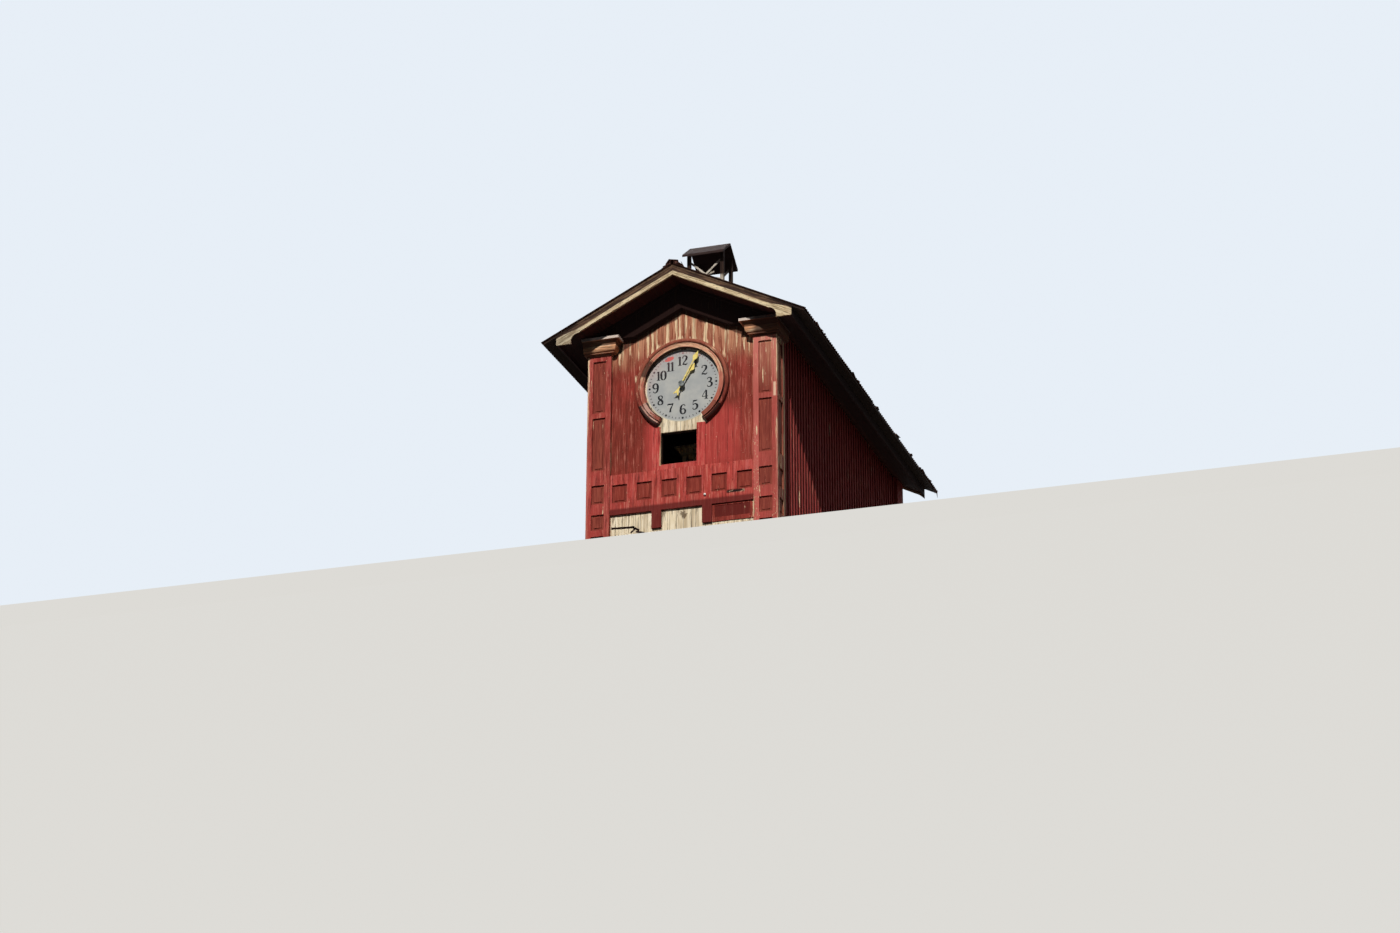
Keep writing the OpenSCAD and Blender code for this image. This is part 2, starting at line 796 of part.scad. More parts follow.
// Corrugated sheets of one slope: each second one laps its neighbours by a corrugation
module roof_sheets(side) {
    count = ceil(wave_count / waves);
    run = roof_half / cos(pitch) - ridge_gap;
    color("#5b4038") placed() sided(side) for (i = [0 : count - 1]) {
        upper = i % 2;
        length = run - (i >= floor(count / 2) && i < count - 2 ? sheet_short : 0);
        translate([0, sheet_y0, ridge_z]) rotate([0, pitch, 0])
            translate([ridge_gap, 0, (upper - 1) * lap_lift])
                rotate([90, 0, 90]) linear_extrude(length)
                    sheet_section(
                        max(i * waves - upper, 0), min((i + 1) * waves + upper, wave_count)
                    );
    }
}

module roof_sheets_left() { roof_sheets(-1); }

module roof_sheets_right() { roof_sheets(1); }

// Line over the ridge at a depth: down to the wings' edges and round a roll of radius r
function ridge_line(r, drop) = concat(
    [[-cap_w, under(cap_w, drop)], [-r, under(r, drop)]],
    [for (a = [210 : -15 : -30]) [r * cos(a), roll_z + r * sin(a)]],
    [[r, under(r, drop)], [cap_w, under(cap_w, drop)]]
);

// Ridge cap: two wings on the sheets and a hollow roll between them
module ridge_cap() {
    outer = ridge_line(roll_r, -lay_gap - cap_t);
    inner = ridge_line(roll_r - cap_t, -lay_gap);
    color("#5b4038") placed() prism(sheet_y0, sheet_y1)
        polygon(concat(outer, [for (i = [len(inner) - 1 : -1 : 0]) inner[i]]));
}

// Front barge board with its hollowed foot
module front_barge(side) {
    low = rafter_drop + barge_d;
    color("#cfc3a4") placed() sided(side) prism(barge_y0, barge_y0 + barge_t) difference() {
        polygon([
            [0, under(0, rafter_drop)], [barge_end, under(barge_end, rafter_drop)],
            [barge_end, foot_z], [foot_x, foot_z], [foot_x, under(foot_x, low)], [0, under(0, low)]
        ]);
        translate([foot_x, foot_z + foot_rise]) circle(foot_r);
    }
}

module front_barge_left() { front_barge(-1); }

module front_barge_right() { front_barge(1); }

// Rear barge boards, plain but for a tooth at the eaves
module rear_barges() {
    low = rafter_drop + barge_d;
    tooth_x = barge_end - tooth_w;
    color("#cfc3a4") placed() for (side = [-1, 1]) sided(side)
        prism(barge_y1, barge_y1 + barge_t) polygon([
            [0, under(0, rafter_drop)], [barge_end, under(barge_end, rafter_drop)],
            [barge_end, foot_z - tooth_w / 2], [tooth_x, under(tooth_x, low)], [0, under(0, low)]
        ]);
}

// Boards astride the ridge that carry the posts, notched over the ridge cap
module cote_saddles() {
    reach = post_x + post_w;
    top = ridge_z + saddle_h;
    drop = -cap_t - 2 * lay_gap;
    color("#4a342c") placed() for (side = [-1, 1])
        prism(cote_y + side * post_y - post_w / 2, cote_y + side * post_y + post_w / 2)
            polygon(concat(
                [[-reach, top], [-reach, under(reach, drop)]],
                ridge_line(roll_r + lay_gap, drop),
                [[reach, under(reach, drop)], [reach, top]]
            ));
}

// Height of the cote roof's underside at a distance from its ridge line
function cote_under(y, gap = 0) =
    cote_ridge - (cote_t + gap) / cos(cote_pitch) - abs(y) * cote_slope;

module cote_posts() {
    base = ridge_z + saddle_h;
    near = post_y - post_w / 2;
    far = post_y + post_w / 2;
    color("#5a4438") placed() for (sx = [-1, 1], sy = [0, 1])
        translate([sx * post_x - post_w / 2, cote_y, 0]) mirror([0, sy, 0])
            rotate([90, 0, 90]) linear_extrude(post_w)
                polygon([
                    [near, base], [far, base],
                    [far, cote_under(far, lay_gap)], [near, cote_under(near, lay_gap)]
                ]);
}

module cote_braces() {
    reach = post_x - post_w / 2;
    color("#a9a294") placed() for (side = [-1, 1])
        prism(cote_y + side * post_y - brace_t / 2, cote_y + side * post_y + brace_t / 2)
            intersection() {
                translate([-reach, 0]) square([2 * reach, cote_ridge]);
                translate([0, brace_z]) for (a = [-1, 1])
                    rotate(a * brace_deg) square([3 * reach, brace_w], center = true);
            }
}

// One slope of the bell cote's roof
module cote_roof(back) {
    color("#6d5048") placed() translate([-cote_half, cote_y, 0]) mirror([0, back ? 0 : 1, 0])
        rotate([90, 0, 90]) linear_extrude(2 * cote_half)
            polygon([
                [0, cote_ridge], [cote_run, cote_ridge - cote_run * cote_slope],
                [cote_run, cote_under(cote_run)], [0, cote_under(0)]
            ]);
}

module cote_roof_front() { cote_roof(false); }

module cote_roof_back() { cote_roof(true); }

floor();
front_wall_left();
front_wall_right();
front_wall_apron();
front_gable();
side_wall_left();
side_wall_right();
rear_wall();
pilaster_left();
pilaster_right();
rear_post_left();
rear_post_right();
capital_left();
capital_right();
frieze();
apron_stiles();
apron_panel();
window_boards();
dial();
dial_ring();
ring_pieces();
dial_bush();
hour_hand();
minute_hand();
clock_case();
case_cornice();
wall_plates();
rafters();
ridge_board();
roof_boards_left();
roof_boards_right();
soffits();
fascias();
rake_frieze();
roof_sheets_left();
roof_sheets_right();
ridge_cap();
front_barge_left();
front_barge_right();
rear_barges();
cote_saddles();
cote_posts();
cote_braces();
cote_roof_front();
cote_roof_back();
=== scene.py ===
import math
import random

import bpy
from mathutils import Matrix, Vector


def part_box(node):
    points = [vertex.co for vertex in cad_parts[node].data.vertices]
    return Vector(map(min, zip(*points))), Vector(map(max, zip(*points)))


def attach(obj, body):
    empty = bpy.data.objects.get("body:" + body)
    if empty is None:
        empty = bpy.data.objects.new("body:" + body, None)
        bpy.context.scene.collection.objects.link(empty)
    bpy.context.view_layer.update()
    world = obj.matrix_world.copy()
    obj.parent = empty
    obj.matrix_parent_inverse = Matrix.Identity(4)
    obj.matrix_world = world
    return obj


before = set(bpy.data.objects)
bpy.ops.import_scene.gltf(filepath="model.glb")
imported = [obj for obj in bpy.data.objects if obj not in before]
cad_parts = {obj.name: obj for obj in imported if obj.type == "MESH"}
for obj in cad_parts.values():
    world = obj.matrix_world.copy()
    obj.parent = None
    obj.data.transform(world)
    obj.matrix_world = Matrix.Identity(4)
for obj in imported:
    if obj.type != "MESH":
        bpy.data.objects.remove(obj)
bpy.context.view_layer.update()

# The tower's main lines, in metres: y along the ridge, x to the right, z up
FRONT = -3.1525  # faces of the front pilasters
WALL_SET = 0.065  # walls behind the pilasters' and posts' faces
WALL_T = 0.08
WALL = FRONT + WALL_SET
REAR_WALL = FRONT + 6.61 - WALL_SET
HALF = 1.345  # half width over the pilasters
PILASTER_IN = 1.010  # inner edges of the pilasters
SIDE = HALF - WALL_SET
PITCH = math.radians(26.3)
SLOPE = math.tan(PITCH)
RIDGE = 4.6099  # top of the roof sheets at the ridge
SOFFIT = 0.1420  # soffits' undersides below the sheets, square to them
RAKE_LOW = 0.4967  # foot of the raking frieze below the ridge
BARGE_TOP = (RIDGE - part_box("front_barge_left")[1].z) * math.cos(PITCH)
BARGE_DROP = 0.04214  # barge boards' tops below the sheets, square to them
BARGE_DEPTH = 0.115
STRIP_W = 0.036  # moulding along a barge board's lower edge
BARGE_HALF = 1.335  # half span of the barge mouldings
EAVES = (1.30, 1.42)  # where painted shade begins on the timber outside the walls
DIAL_Z = 3.0
DIAL_Y = FRONT + 0.058  # face of the dial
DIGIT = 0.140  # height of a number
NUMBER_R = 0.362  # middles of the numbers from the hands' axis
MARK_R = 0.474  # minute marks
BAND_R = 0.597  # outer edge of the ring's inner band
RING_R = 0.664  # outer edge of the ring
WINDOW = (-0.312, 0.200, 1.880, 2.345)
LINING_T = 0.004
APRON_FOOT = 0.93
APRON_TOP = 1.230
FRIEZE_FOOT = 1.290  # the rail is darker from here down
PANEL_X = (1.07, 1.285)  # sunk panels of the pilasters, on the front
FLANK_Y = (FRONT + 0.06, FRONT + 0.275)  # and on the side
CAPITAL_Z = (3.588, 3.670, 3.735)  # foot, hollow and top fillet of a capital
COTE_Y = FRONT + 1.230
COTE_FOOT = 4.9  # sheet above this is the bell cote's
BOARD_W = 0.101  # boards of the front
SIDE_START = FRONT + 0.335
SIDE_BOARDS = 46
SIDE_STEP = 5.94 / SIDE_BOARDS
REAR_BOARDS = 16
REAR_STEP = 2.02 / REAR_BOARDS
BOARD_FOOT = 0.004
BOARD_TOP = 4.6  # before the roof cuts them off
BOARD_GAP = 0.0008  # half the gap between two boards
BATTEN_HALF = 0.0235
BATTEN_FOOT = 0.002
BATTEN_OUT = 0.0245
GLOSS = 0.12  # specular level of weathered paint and wood
BLACK = (0.0, 0.0, 0.0, 1.0)
SENSOR = 36  # millimetres
FOCAL, PHOTO_W = 3068.8, 1400  # pixels
INSIDE = "c4b295"  # bare timber of the walls' inner faces
# painted shade: near black for the timber under the eaves, outside the walls
EAVES_SHADE = "150c0d"


# Materials


def paint(chip):
    """Linear colour of a paint chip, which is written as six hex digits."""
    parts = [int(chip[i:i + 2], 16) / 255 for i in (0, 2, 4)]
    return (*[c / 12.92 if c < 0.04045 else ((c + 0.055) / 1.055) ** 2.4 for c in parts], 1.0)


def operator(name):
    """An operator of a wire with another value, and the same with the wire in second place."""
    return (lambda wire, other: wire.maths(name, wire, other),
            lambda wire, other: wire.maths(name, other, wire))


class Wire:
    """One value in a material. Sums and products of wires add their maths nodes."""

    __add__, __radd__ = operator("ADD")
    __sub__, __rsub__ = operator("SUBTRACT")
    __mul__, __rmul__ = operator("MULTIPLY")
    __truediv__ = operator("DIVIDE")[0]
    __pow__ = operator("POWER")[0]
    most = operator("MAXIMUM")[0]

    def __init__(self, mix, socket):
        self.mix = mix
        self.socket = socket

    def maths(self, operation, *values):
        return self.mix.add("Math", {"operation": operation}, dict(enumerate(values)))

    def size(self):
        return self.maths("ABSOLUTE", self)

    def whole(self):
        return self.maths("FLOOR", self)

    def ramp(self, low, high):
        """0 below low and 1 above high, smooth between them."""
        return self.mix.add("MapRange", {"interpolation_type": "SMOOTHSTEP"},
                            {0: self, 1: low, 2: high, 3: 0.0, 4: 1.0})

    def between(self, low, high, soft):
        """1 between low and high, fading over each end."""
        return self.ramp(low - soft, low + soft) * (1 - self.ramp(high - soft, high + soft))


class Nodes:
    """Adds nodes to one material or to the world."""

    def __init__(self, tree):
        self.tree = tree

    def feed(self, node, sockets):
        """Links wires to a node's sockets, and writes plain values there."""
        for key, value in sockets.items():
            if isinstance(value, Wire):
                self.tree.links.new(value.socket, node.inputs[key])
            elif value is not None:
                node.inputs[key].default_value = value

    def add(self, kind, settings=None, sockets=None, out=0):
        node = self.tree.nodes.new("ShaderNode" + kind)
        for key, value in (settings or {}).items():
            setattr(node, key, value)
        self.feed(node, sockets or {})
        return Wire(self, node.outputs[out])

    def plain_view(self):
        """1 for what is seen straight, in gloss or through glass, and 0 for other light."""
        camera, gloss, glass = [self.add("LightPath", out="Is %s Ray" % ray)
                                for ray in ("Camera", "Glossy", "Transmission")]
        return camera.most(gloss).most(glass)


class Mixture(Nodes):
    """The nodes of one material."""

    def __init__(self, name):
        self.material = bpy.data.materials.new(name)
        self.material.use_nodes = True
        super().__init__(self.material.node_tree)
        self.shader = self.tree.nodes["Principled BSDF"]
        self.place = self.add("TexCoord", out="Object")
        self.x, self.y, self.z = [
            self.add("SeparateXYZ", sockets={0: self.place}, out=i) for i in range(3)
        ]

    def vector(self, x, y, z):
        return self.add("CombineXYZ", sockets={0: x, 1: y, 2: z})

    def noise(self, scale, stretch=(1, 1, 1), detail=4.0, rough=0.55, place=None):
        """Cloudy pattern; a small number in stretch draws it out along that axis."""
        drawn = self.add("VectorMath", {"operation": "MULTIPLY"},
                         {0: place or self.place, 1: stretch})
        return self.add("TexNoise", sockets={
            "Vector": drawn, "Scale": scale, "Detail": detail, "Roughness": rough,
        })

    def box(self, x0, x1, z0, z1, soft):
        """1 inside a rectangle of widths and heights, fading over its edges."""
        return self.x.between(x0, x1, soft) * self.z.between(z0, z1, soft)

    def reach(self, x, z):
        """Distance from a point on the front."""
        return ((self.x - x) * (self.x - x) + (self.z - z) * (self.z - z)) ** 0.5

    def chance(self, value):
        """A random number from 0 to 1 for each whole value."""
        return self.add("TexWhiteNoise", {"noise_dimensions": "1D"}, {"W": value})

    def blend(self, share, first, second):
        """Between two colours, each a wire, a paint chip or a colour's four numbers."""
        first, second = [paint(c) if isinstance(c, str) else c for c in (first, second)]
        return self.add("Mix", {"data_type": "RGBA"}, {0: share, 6: first, 7: second}, out=2)

    def finish_paint(self, colour, fine, off):
        """Finish of old paint, a little lower where it is off."""
        return self.finish(colour, 0.8 - fine * 0.15, (1 - off * 0.5) + fine * 0.2, 0.003)

    def finish(self, colour, rough, height=None, depth=0.002):
        """Feeds the shader; the height becomes a bump of that depth in metres."""
        sockets = {"Base Color": colour, "Roughness": rough}
        if height is not None:
            sockets["Normal"] = self.add("Bump", sockets={
                "Strength": 1.0, "Distance": depth, "Height": height})
        self.feed(self.shader, sockets)
        self.shader.inputs["Specular IOR Level"].default_value = GLOSS
        return self.material


UPRIGHT = (1.0, 1.0, 0.06)
ALONG = (1, 0.06, 1)
PALE = ("efe3cc", "c9b596", "8f7a62")


def bare_wood(mix, tones=PALE, grain=UPRIGHT, place=None):
    """Weathered timber: grain, grey weathering and dark splits."""
    fine = mix.noise(95.0, grain, 5.0, 0.6, place)
    broad = mix.noise(14.0, grain, 3.0, 0.5, place)
    split = mix.noise(42.0, tuple(g * (0.5 if g < 1 else 1.2) for g in grain), 2.0, 0.5, place)
    colour = mix.blend(fine.ramp(0.35, 0.68), tones[0], tones[1])
    colour = mix.blend(broad.ramp(0.42, 0.72) * 0.7, colour, tones[2])
    colour = mix.blend(split.ramp(0.62, 0.66) * 0.75, colour, "3a2c22")
    return colour, fine


def red_coat(mix, tones, boards=None):
    """Old red paint: faded and darker patches, streaks from rain, a tone for each board."""
    broad = mix.noise(2.3, (1, 1, 0.5), 3.0)
    rain = mix.noise(16.0, (1, 1, 0.05), 4.0)
    fine = mix.noise(70.0, (1, 1, 0.25), 4.0)
    hair = mix.noise(46.0, (1, 1, 0.07), 5.0, 0.68)
    chip = mix.noise(60.0, (1, 1, 0.5), 4.0, 0.6)
    colour = mix.blend(broad.ramp(0.3, 0.7), tones[0], tones[1])
    colour = mix.blend(rain.ramp(0.45, 0.75) * 0.6, colour, tones[2])
    worn = mix.noise(1.7, (1, 1, 0.7), 5.0, 0.65, mix.vector(mix.x + 7.0, mix.y, mix.z))
    colour = mix.blend(worn.ramp(0.48, 0.66) * 0.45, colour, "7e3a2d")
    colour = mix.blend((1 - hair.ramp(0.34, 0.49)) * 0.65, colour, "45150f")
    colour = mix.blend(hair.ramp(0.53, 0.65) * 0.5, colour, "cf8472")
    colour = mix.blend((1 - chip.ramp(0.31, 0.38)) * 0.6, colour, "33100d")
    if boards is not None:
        colour = mix.blend(mix.chance(boards).ramp(0.1, 0.95) * 0.45, colour, tones[0])
    return mix.blend(fine.ramp(0.5, 0.8) * 0.25, colour, tones[2]), fine


def flaked(mix, share, coat, wood, streak=(1, 1, 0.10), scale=30.0, specks=0.0):
    """Shows wood through the coat where a share of it has flaked off, in upright flakes."""
    flake = mix.noise(scale, streak, 5.0, 0.62)
    fleck = mix.noise(scale * 3.2, (1, 1, 0.35), 3.0, 0.5)
    off = (flake + share * 0.45).ramp(0.68, 0.72)
    off = off.most((fleck + specks * 0.2).ramp(0.74, 0.77) * 0.75)
    return mix.blend(off, coat, wood), off


RED = ("74291f", "96382f", "b4574c")
BRIGHT_RED = ("9a342d", "bb4740", "d2706a")
SIDE_RED = ("6a1c1e", "882c2c", "a34945")
CREAM = ("eed6b2", "d6b08a", "9a7255")


def wall_red():
    """Narrow boards of the front: red, tan with cream streaks under the gable, bare at places."""
    mix = Mixture("front boards")
    along = (mix.x + 2.0) / BOARD_W
    board = along.whole()
    across = along - board
    luck = mix.chance(board + 40.0)
    right = mix.x.ramp(0.1, 0.8)
    high = (mix.z + mix.x.size() * 0.30 + (mix.noise(3.0) - 0.5) * 0.5).ramp(3.42, 3.85)
    coat, fine = red_coat(mix, RED, board)
    coat = mix.blend(right * (0.05 + luck * 0.25), coat, "a8483f")
    bright = mix.box(0.20, 0.78, 1.80, 2.62, 0.12).most(mix.box(-0.52, -0.30, 1.8, 2.5, 0.08))
    coat = mix.blend(bright * 0.6, coat, "bd4642")
    rain = mix.noise(60.0, (1, 1, 0.04), 3.0, 0.5)
    coat = mix.blend(rain.ramp(0.60, 0.68) * (0.25 + right * 0.45), coat, "4f1d18")
    hair = mix.noise(70.0, (1, 1, 0.05), 4.0, 0.6)
    tan = mix.blend(hair.ramp(0.38, 0.60), "74382a", "b07559")
    tan = mix.blend(mix.noise(26.0, (1, 1, 0.07), 4.0).ramp(0.45, 0.62), tan, "c08a6c")
    coat = mix.blend(high * 0.9, coat, tan)
    wood, grain = bare_wood(mix, CREAM)
    rag = mix.noise(30.0, (1, 1, 0.09), 5.0, 0.62)
    edge = 1 - (across - luck).size().ramp(0.0, 0.42)
    near = mix.reach(0.0, DIAL_Z)
    ring = near.between(RING_R, RING_R + 0.06, 0.03) * mix.z.ramp(2.8, 3.2)
    off = (rag + high * (0.03 + 0.27 * edge) + ring * 0.12 - high * right * 0.05).ramp(0.66, 0.76)
    fleck = mix.noise(96.0, (1, 1, 0.35), 3.0, 0.5)
    off = off.most((fleck + right * 0.03 + high * 0.04).ramp(0.71, 0.75) * 0.7)
    colour = mix.blend(off, coat, wood)
    pale, _ = bare_wood(mix, ("f2e6ce", "dccaa8", "9d8565"))
    left, right_edge, _, top = WINDOW
    bare = (1 - near.ramp(RING_R - 0.004, RING_R + 0.004)).most(
        mix.z.between(APRON_FOOT, APRON_TOP + 0.02, 0.004)).most(
        mix.box(left - 0.004, right_edge + 0.004, top - 0.01, top + 0.15, 0.003))
    colour = mix.blend(bare, colour, pale)
    dirt = mix.noise(30.0, (1, 1, 0.12), 5.0, 0.65) + mix.z.between(1.12, 1.25, 0.05) * 0.05
    dirt = dirt.ramp(0.56, 0.66)
    colour = mix.blend(bare * dirt * 0.6, colour, "6d5a46")
    stain = 1 - (mix.reach(0.02, 1.135) + (mix.noise(22.0) - 0.5) * 0.16).ramp(0.035, 0.060)
    colour = mix.blend(stain * bare * 0.8, colour, "54402c")
    joint = (across - 0.5).size().ramp(0.475, 0.495)
    colour = mix.blend(joint * (0.7 + bare * 0.25), colour, "2a100c")
    # painted shade: the boards are near black above the line where the raking frieze's shadow ends
    shade = mix.z + mix.x.size() * SLOPE + (rag - 0.5) * 0.05 + (luck - 0.5) * 0.03
    rake = RIDGE - RAKE_LOW
    colour = mix.blend(shade.ramp(rake - 0.085, rake - 0.06) * 0.85, colour, "32150f")
    colour = mix.blend(mix.y.ramp(WALL + 0.02, WALL + 0.03), colour, INSIDE)
    height = (1 - off * 0.5) + fine * 0.2 + grain * 0.2
    return mix.finish(colour, 0.85 - fine * 0.15, height, 0.003)


def frieze_red():
    """Rails and stiles bright red, the sunk panels browner, a gouge in the lower rail."""
    mix = Mixture("frieze red")
    coat, fine = red_coat(mix, BRIGHT_RED)
    field = mix.y.ramp(FRONT + 0.030, FRONT + 0.035)
    # painted shade: the deepest part of each sunk panel, round its field, is darker
    recess_shade = mix.y.ramp(FRONT + 0.041, FRONT + 0.045)
    grain = mix.noise(60.0, (1, 1, 0.10), 4.0)
    brown = mix.blend(grain.ramp(0.4, 0.65), "73291f", "8e3f31")
    coat = mix.blend(field * 0.85, coat, brown)
    coat = mix.blend(recess_shade * 0.3, coat, "571f18")
    coat = mix.blend((1 - mix.z.ramp(FRIEZE_FOOT, FRIEZE_FOOT + 0.04)) * 0.85, coat, "571916")
    wood, _ = bare_wood(mix, CREAM)
    colour, off = flaked(mix, 0.0, coat, wood, scale=24.0)
    rag = mix.noise(40.0, (0.25, 1, 1), 4.0, 0.6)
    gouge = mix.box(0.63, 0.88, 1.358, 1.400, 0.014) * (rag + 0.2).ramp(0.48, 0.60)
    colour = mix.blend(gouge, colour, mix.blend(rag.ramp(0.56, 0.62), "140806", "c09a80"))
    height = (1 - off * 0.5 - gouge) + fine * 0.2
    return mix.finish(colour, 0.8 - fine * 0.15, height, 0.003)


def window_red():
    """Boards round the window: the brightest red, thin cream wear at the edge of the opening."""
    mix = Mixture("window boards red")
    coat, fine = red_coat(mix, ("a5342f", "bd4743", "cf6a63"))
    wood, _ = bare_wood(mix, CREAM)
    edge, _, sill, _ = WINDOW
    left = mix.x.between(edge - 0.010, edge + 0.01, 0.002) * mix.z.ramp(sill - 0.02, sill)
    colour, off = flaked(mix, left * 0.6, coat, wood)
    return mix.finish_paint(colour, fine, off)


def apron_red():
    """Panel right of the apron: dark field in a worn red frame."""
    mix = Mixture("apron red")
    coat, fine = red_coat(mix, RED)
    field = mix.y.ramp(FRONT + 0.0500, FRONT + 0.0515)
    coat = mix.blend(field * 0.85, coat, "52130f")
    wood, _ = bare_wood(mix, CREAM)
    colour, off = flaked(mix, 0.05 + mix.x.ramp(0.95, 0.98) * 0.35, coat, wood)
    return mix.finish_paint(colour, fine, off)


def pilaster_red():
    """Front pilasters: pinker on the right, brown sunk panels, corners and feet worn to wood."""
    mix = Mixture("pilaster red")
    right = mix.x.ramp(-0.8, 0.8)
    coat, fine = red_coat(mix, ("87302a", "a8403a", "c4675d"))
    top = mix.z.ramp(2.7, 3.45)
    coat = mix.blend(right * 0.35, coat, "ad524a")
    coat = mix.blend(right * top * 0.8, coat, "c5796b")
    coat = mix.blend(mix.x.between(1.01, 1.085, 0.004) * 0.45, coat, "cd6f66")
    grain = mix.noise(60.0, (1, 1, 0.08), 4.0)
    streak = mix.noise(24.0, (1, 1, 0.05), 4.0, 0.6)
    brown = mix.blend(grain.ramp(0.4, 0.65), "6c2c22", "8a4334")
    pale = mix.noise(34.0, (1, 1, 0.06), 5.0, 0.65)
    bleached = mix.blend(streak.ramp(0.4, 0.6), "a0584a", "c08b6c")
    brown = mix.blend(right * top * 0.75, brown, bleached)
    front = mix.y.ramp(FRONT + 0.004, FRONT + 0.010) * mix.x.size().between(*PANEL_X, 0.003)
    front = front * (1 - mix.y.ramp(FRONT + 0.030, FRONT + 0.034))
    flank = mix.x.size().between(1.312, 1.338, 0.002) * mix.y.between(*FLANK_Y, 0.004)
    coat = mix.blend(front.most(flank) * 0.85, coat, brown)
    coat = mix.blend(pale.ramp(0.55, 0.66) * right * top * 0.7, coat, "dcb092")
    side = mix.y.ramp(FRONT + 0.004, FRONT + 0.03) * (1 - front)
    tan = mix.blend(streak.ramp(0.4, 0.6), "753c2e", "9c5f48")
    coat = mix.blend(side * 0.75, coat, tan)
    wood, _ = bare_wood(mix, CREAM)
    corner = 1 - ((HALF - mix.x.size()) + (mix.y - FRONT)).ramp(0.004, 0.034)
    inside = mix.box(1.0, 1.085, 0.9, 2.25, 0.03).most(mix.box(1.27, 1.35, 0.9, 1.35, 0.04))
    rear = mix.y.between(FRONT + 0.300, FRONT + 0.34, 0.006) * mix.z.ramp(1.1, 1.5)
    left = (1 - mix.x.ramp(-1.335, -1.30)) * mix.z.ramp(2.3, 2.7)
    share = 0.05 + left * 0.35 + side * (1 - flank) * 0.22 + corner * 0.30
    share = share + top * 0.16 * (0.4 + right) + inside * 0.10 + rear * 0.55
    specks = 0.1 + inside * 0.55 + top * 0.2
    colour, off = flaked(mix, share, coat, wood, (1, 1, 0.08), 26.0, specks)
    patch = mix.box(1.292, 1.36, 2.66, 2.86, 0.012) * (streak + 0.3).ramp(0.66, 0.74)
    patch = patch * (1 - mix.y.ramp(FRONT + 0.02, FRONT + 0.03))
    colour = mix.blend(patch * 0.85, colour, "e3c1a6")
    colour = mix.blend(corner * streak.ramp(0.42, 0.58) * 0.6, colour, "cc8a7a")
    return mix.finish_paint(colour, fine, off)


def side_red():
    """Boards and battens of the sides and the rear; timber shows inside."""
    mix = Mixture("side boards")
    coat, fine = red_coat(mix, SIDE_RED, ((mix.y - SIDE_START) / SIDE_STEP + 0.5).whole())
    proud = mix.x.size().ramp(SIDE + 0.008, SIDE + 0.018).most(
        mix.y.ramp(REAR_WALL + 0.008, REAR_WALL + 0.018))
    # painted highlight: the proud battens are paler than the boards between them
    coat = mix.blend(proud * 0.35, coat, "b4524b")
    wood, _ = bare_wood(mix, CREAM)
    colour, off = flaked(mix, proud * 0.06, coat, wood, (1, 1, 0.06), 24.0)
    foot = (1 - mix.z.ramp(0.05, 0.45)) * mix.noise(6.0).ramp(0.35, 0.7)
    colour = mix.blend(foot * 0.5, colour, "4a2a22")
    inner = 1 - mix.x.size().ramp(SIDE - 0.03, SIDE - 0.02)
    inner = inner * mix.y.between(WALL + 0.02, REAR_WALL - 0.02, 0.004)
    colour = mix.blend(inner, colour, INSIDE)
    return mix.finish(colour, 0.85 - fine * 0.15, fine * 0.4 - off * 0.4, 0.003)


def ring_red():
    """Ring round the dial: bleached inner band, dark groove, red outer lip, worn loose pieces."""
    mix = Mixture("ring paint")
    coat, fine = red_coat(mix, ("7d3229", "9c463b", "b86a5a"))
    around = mix.reach(0.0, DIAL_Z)
    turn = mix.add("Math", {"operation": "ARCTAN2"}, {0: mix.x, 1: mix.z - DIAL_Z})
    place = mix.vector(around, mix.y, turn * 0.62)
    wood, _ = bare_wood(mix, ("e8c3a0", "d09a7c", "94604a"), (1, 1, 0.08), place)
    high = mix.z.ramp(2.75, 3.3)
    right = mix.x.ramp(-0.2, 0.5)
    flake = mix.noise(34.0, (1, 1, 0.16), 5.0, 0.62, place)
    hair = mix.noise(90.0, (1, 1, 0.10), 4.0, 0.6, place)
    band = 1 - around.ramp(BAND_R, BAND_R + 0.005)
    coat = mix.blend((1 - band) * high * 0.6, coat, "985a46")
    coat = mix.blend(band * (0.30 + high * 0.35 + right * 0.15), coat, "cc7f6b")
    off = (flake + high * 0.06 + band * high * 0.16).ramp(0.60, 0.70)
    colour = mix.blend(off * 0.85, coat, wood)
    colour = mix.blend((1 - hair.ramp(0.34, 0.46)) * 0.5, colour, "4e241c")
    gone = turn.between(-1.289, -0.849, 0.03) * band * (flake + 0.15).ramp(0.45, 0.55)
    colour = mix.blend(gone * 0.85, colour, "341712")
    loose_left = turn.between(-2.62, -1.98, 0.01)
    loose_right = turn.between(2.15, 2.63, 0.01)
    colour = mix.blend(loose_left * 0.5, colour, "6b352b")
    colour = mix.blend(loose_left * flake.ramp(0.42, 0.52) * 0.8, colour, "c9a092")
    colour = mix.blend(loose_right * 0.6, colour, "6f3c2e")
    # painted shade: dark along the loose pieces' edges and under the outer lip at the lower right
    dark = loose_left * around.ramp(0.622, 0.632).most(1 - around.ramp(0.546, 0.550))
    dark = dark.most(loose_right * around.ramp(0.618, 0.626))
    dark = dark.most(turn.between(1.62, 2.20, 0.08) * around.between(0.602, 0.626, 0.002))
    colour = mix.blend(dark * 0.9, colour, "1c0c0a")
    # painted shade: the groove between the lip and the band is dark all round
    groove = around.between(0.596, 0.606, 0.001)
    colour = mix.blend(groove * 0.85, colour, "26100c")
    # painted shade: the inner reveal of the band is near black in its upper part
    reveal_shade = (1 - around.ramp(0.5365, 0.5385)) * mix.z.ramp(DIAL_Z + 0.05, DIAL_Z + 0.25)
    colour = mix.blend(reveal_shade * 0.9, colour, "1a0d0a")
    rim = around.ramp(0.654, 0.662)
    colour = mix.blend(rim * 0.5, colour, "5b241d")
    return mix.finish(colour, 0.8, fine * 0.3 - off * 0.3 - gone, 0.003)


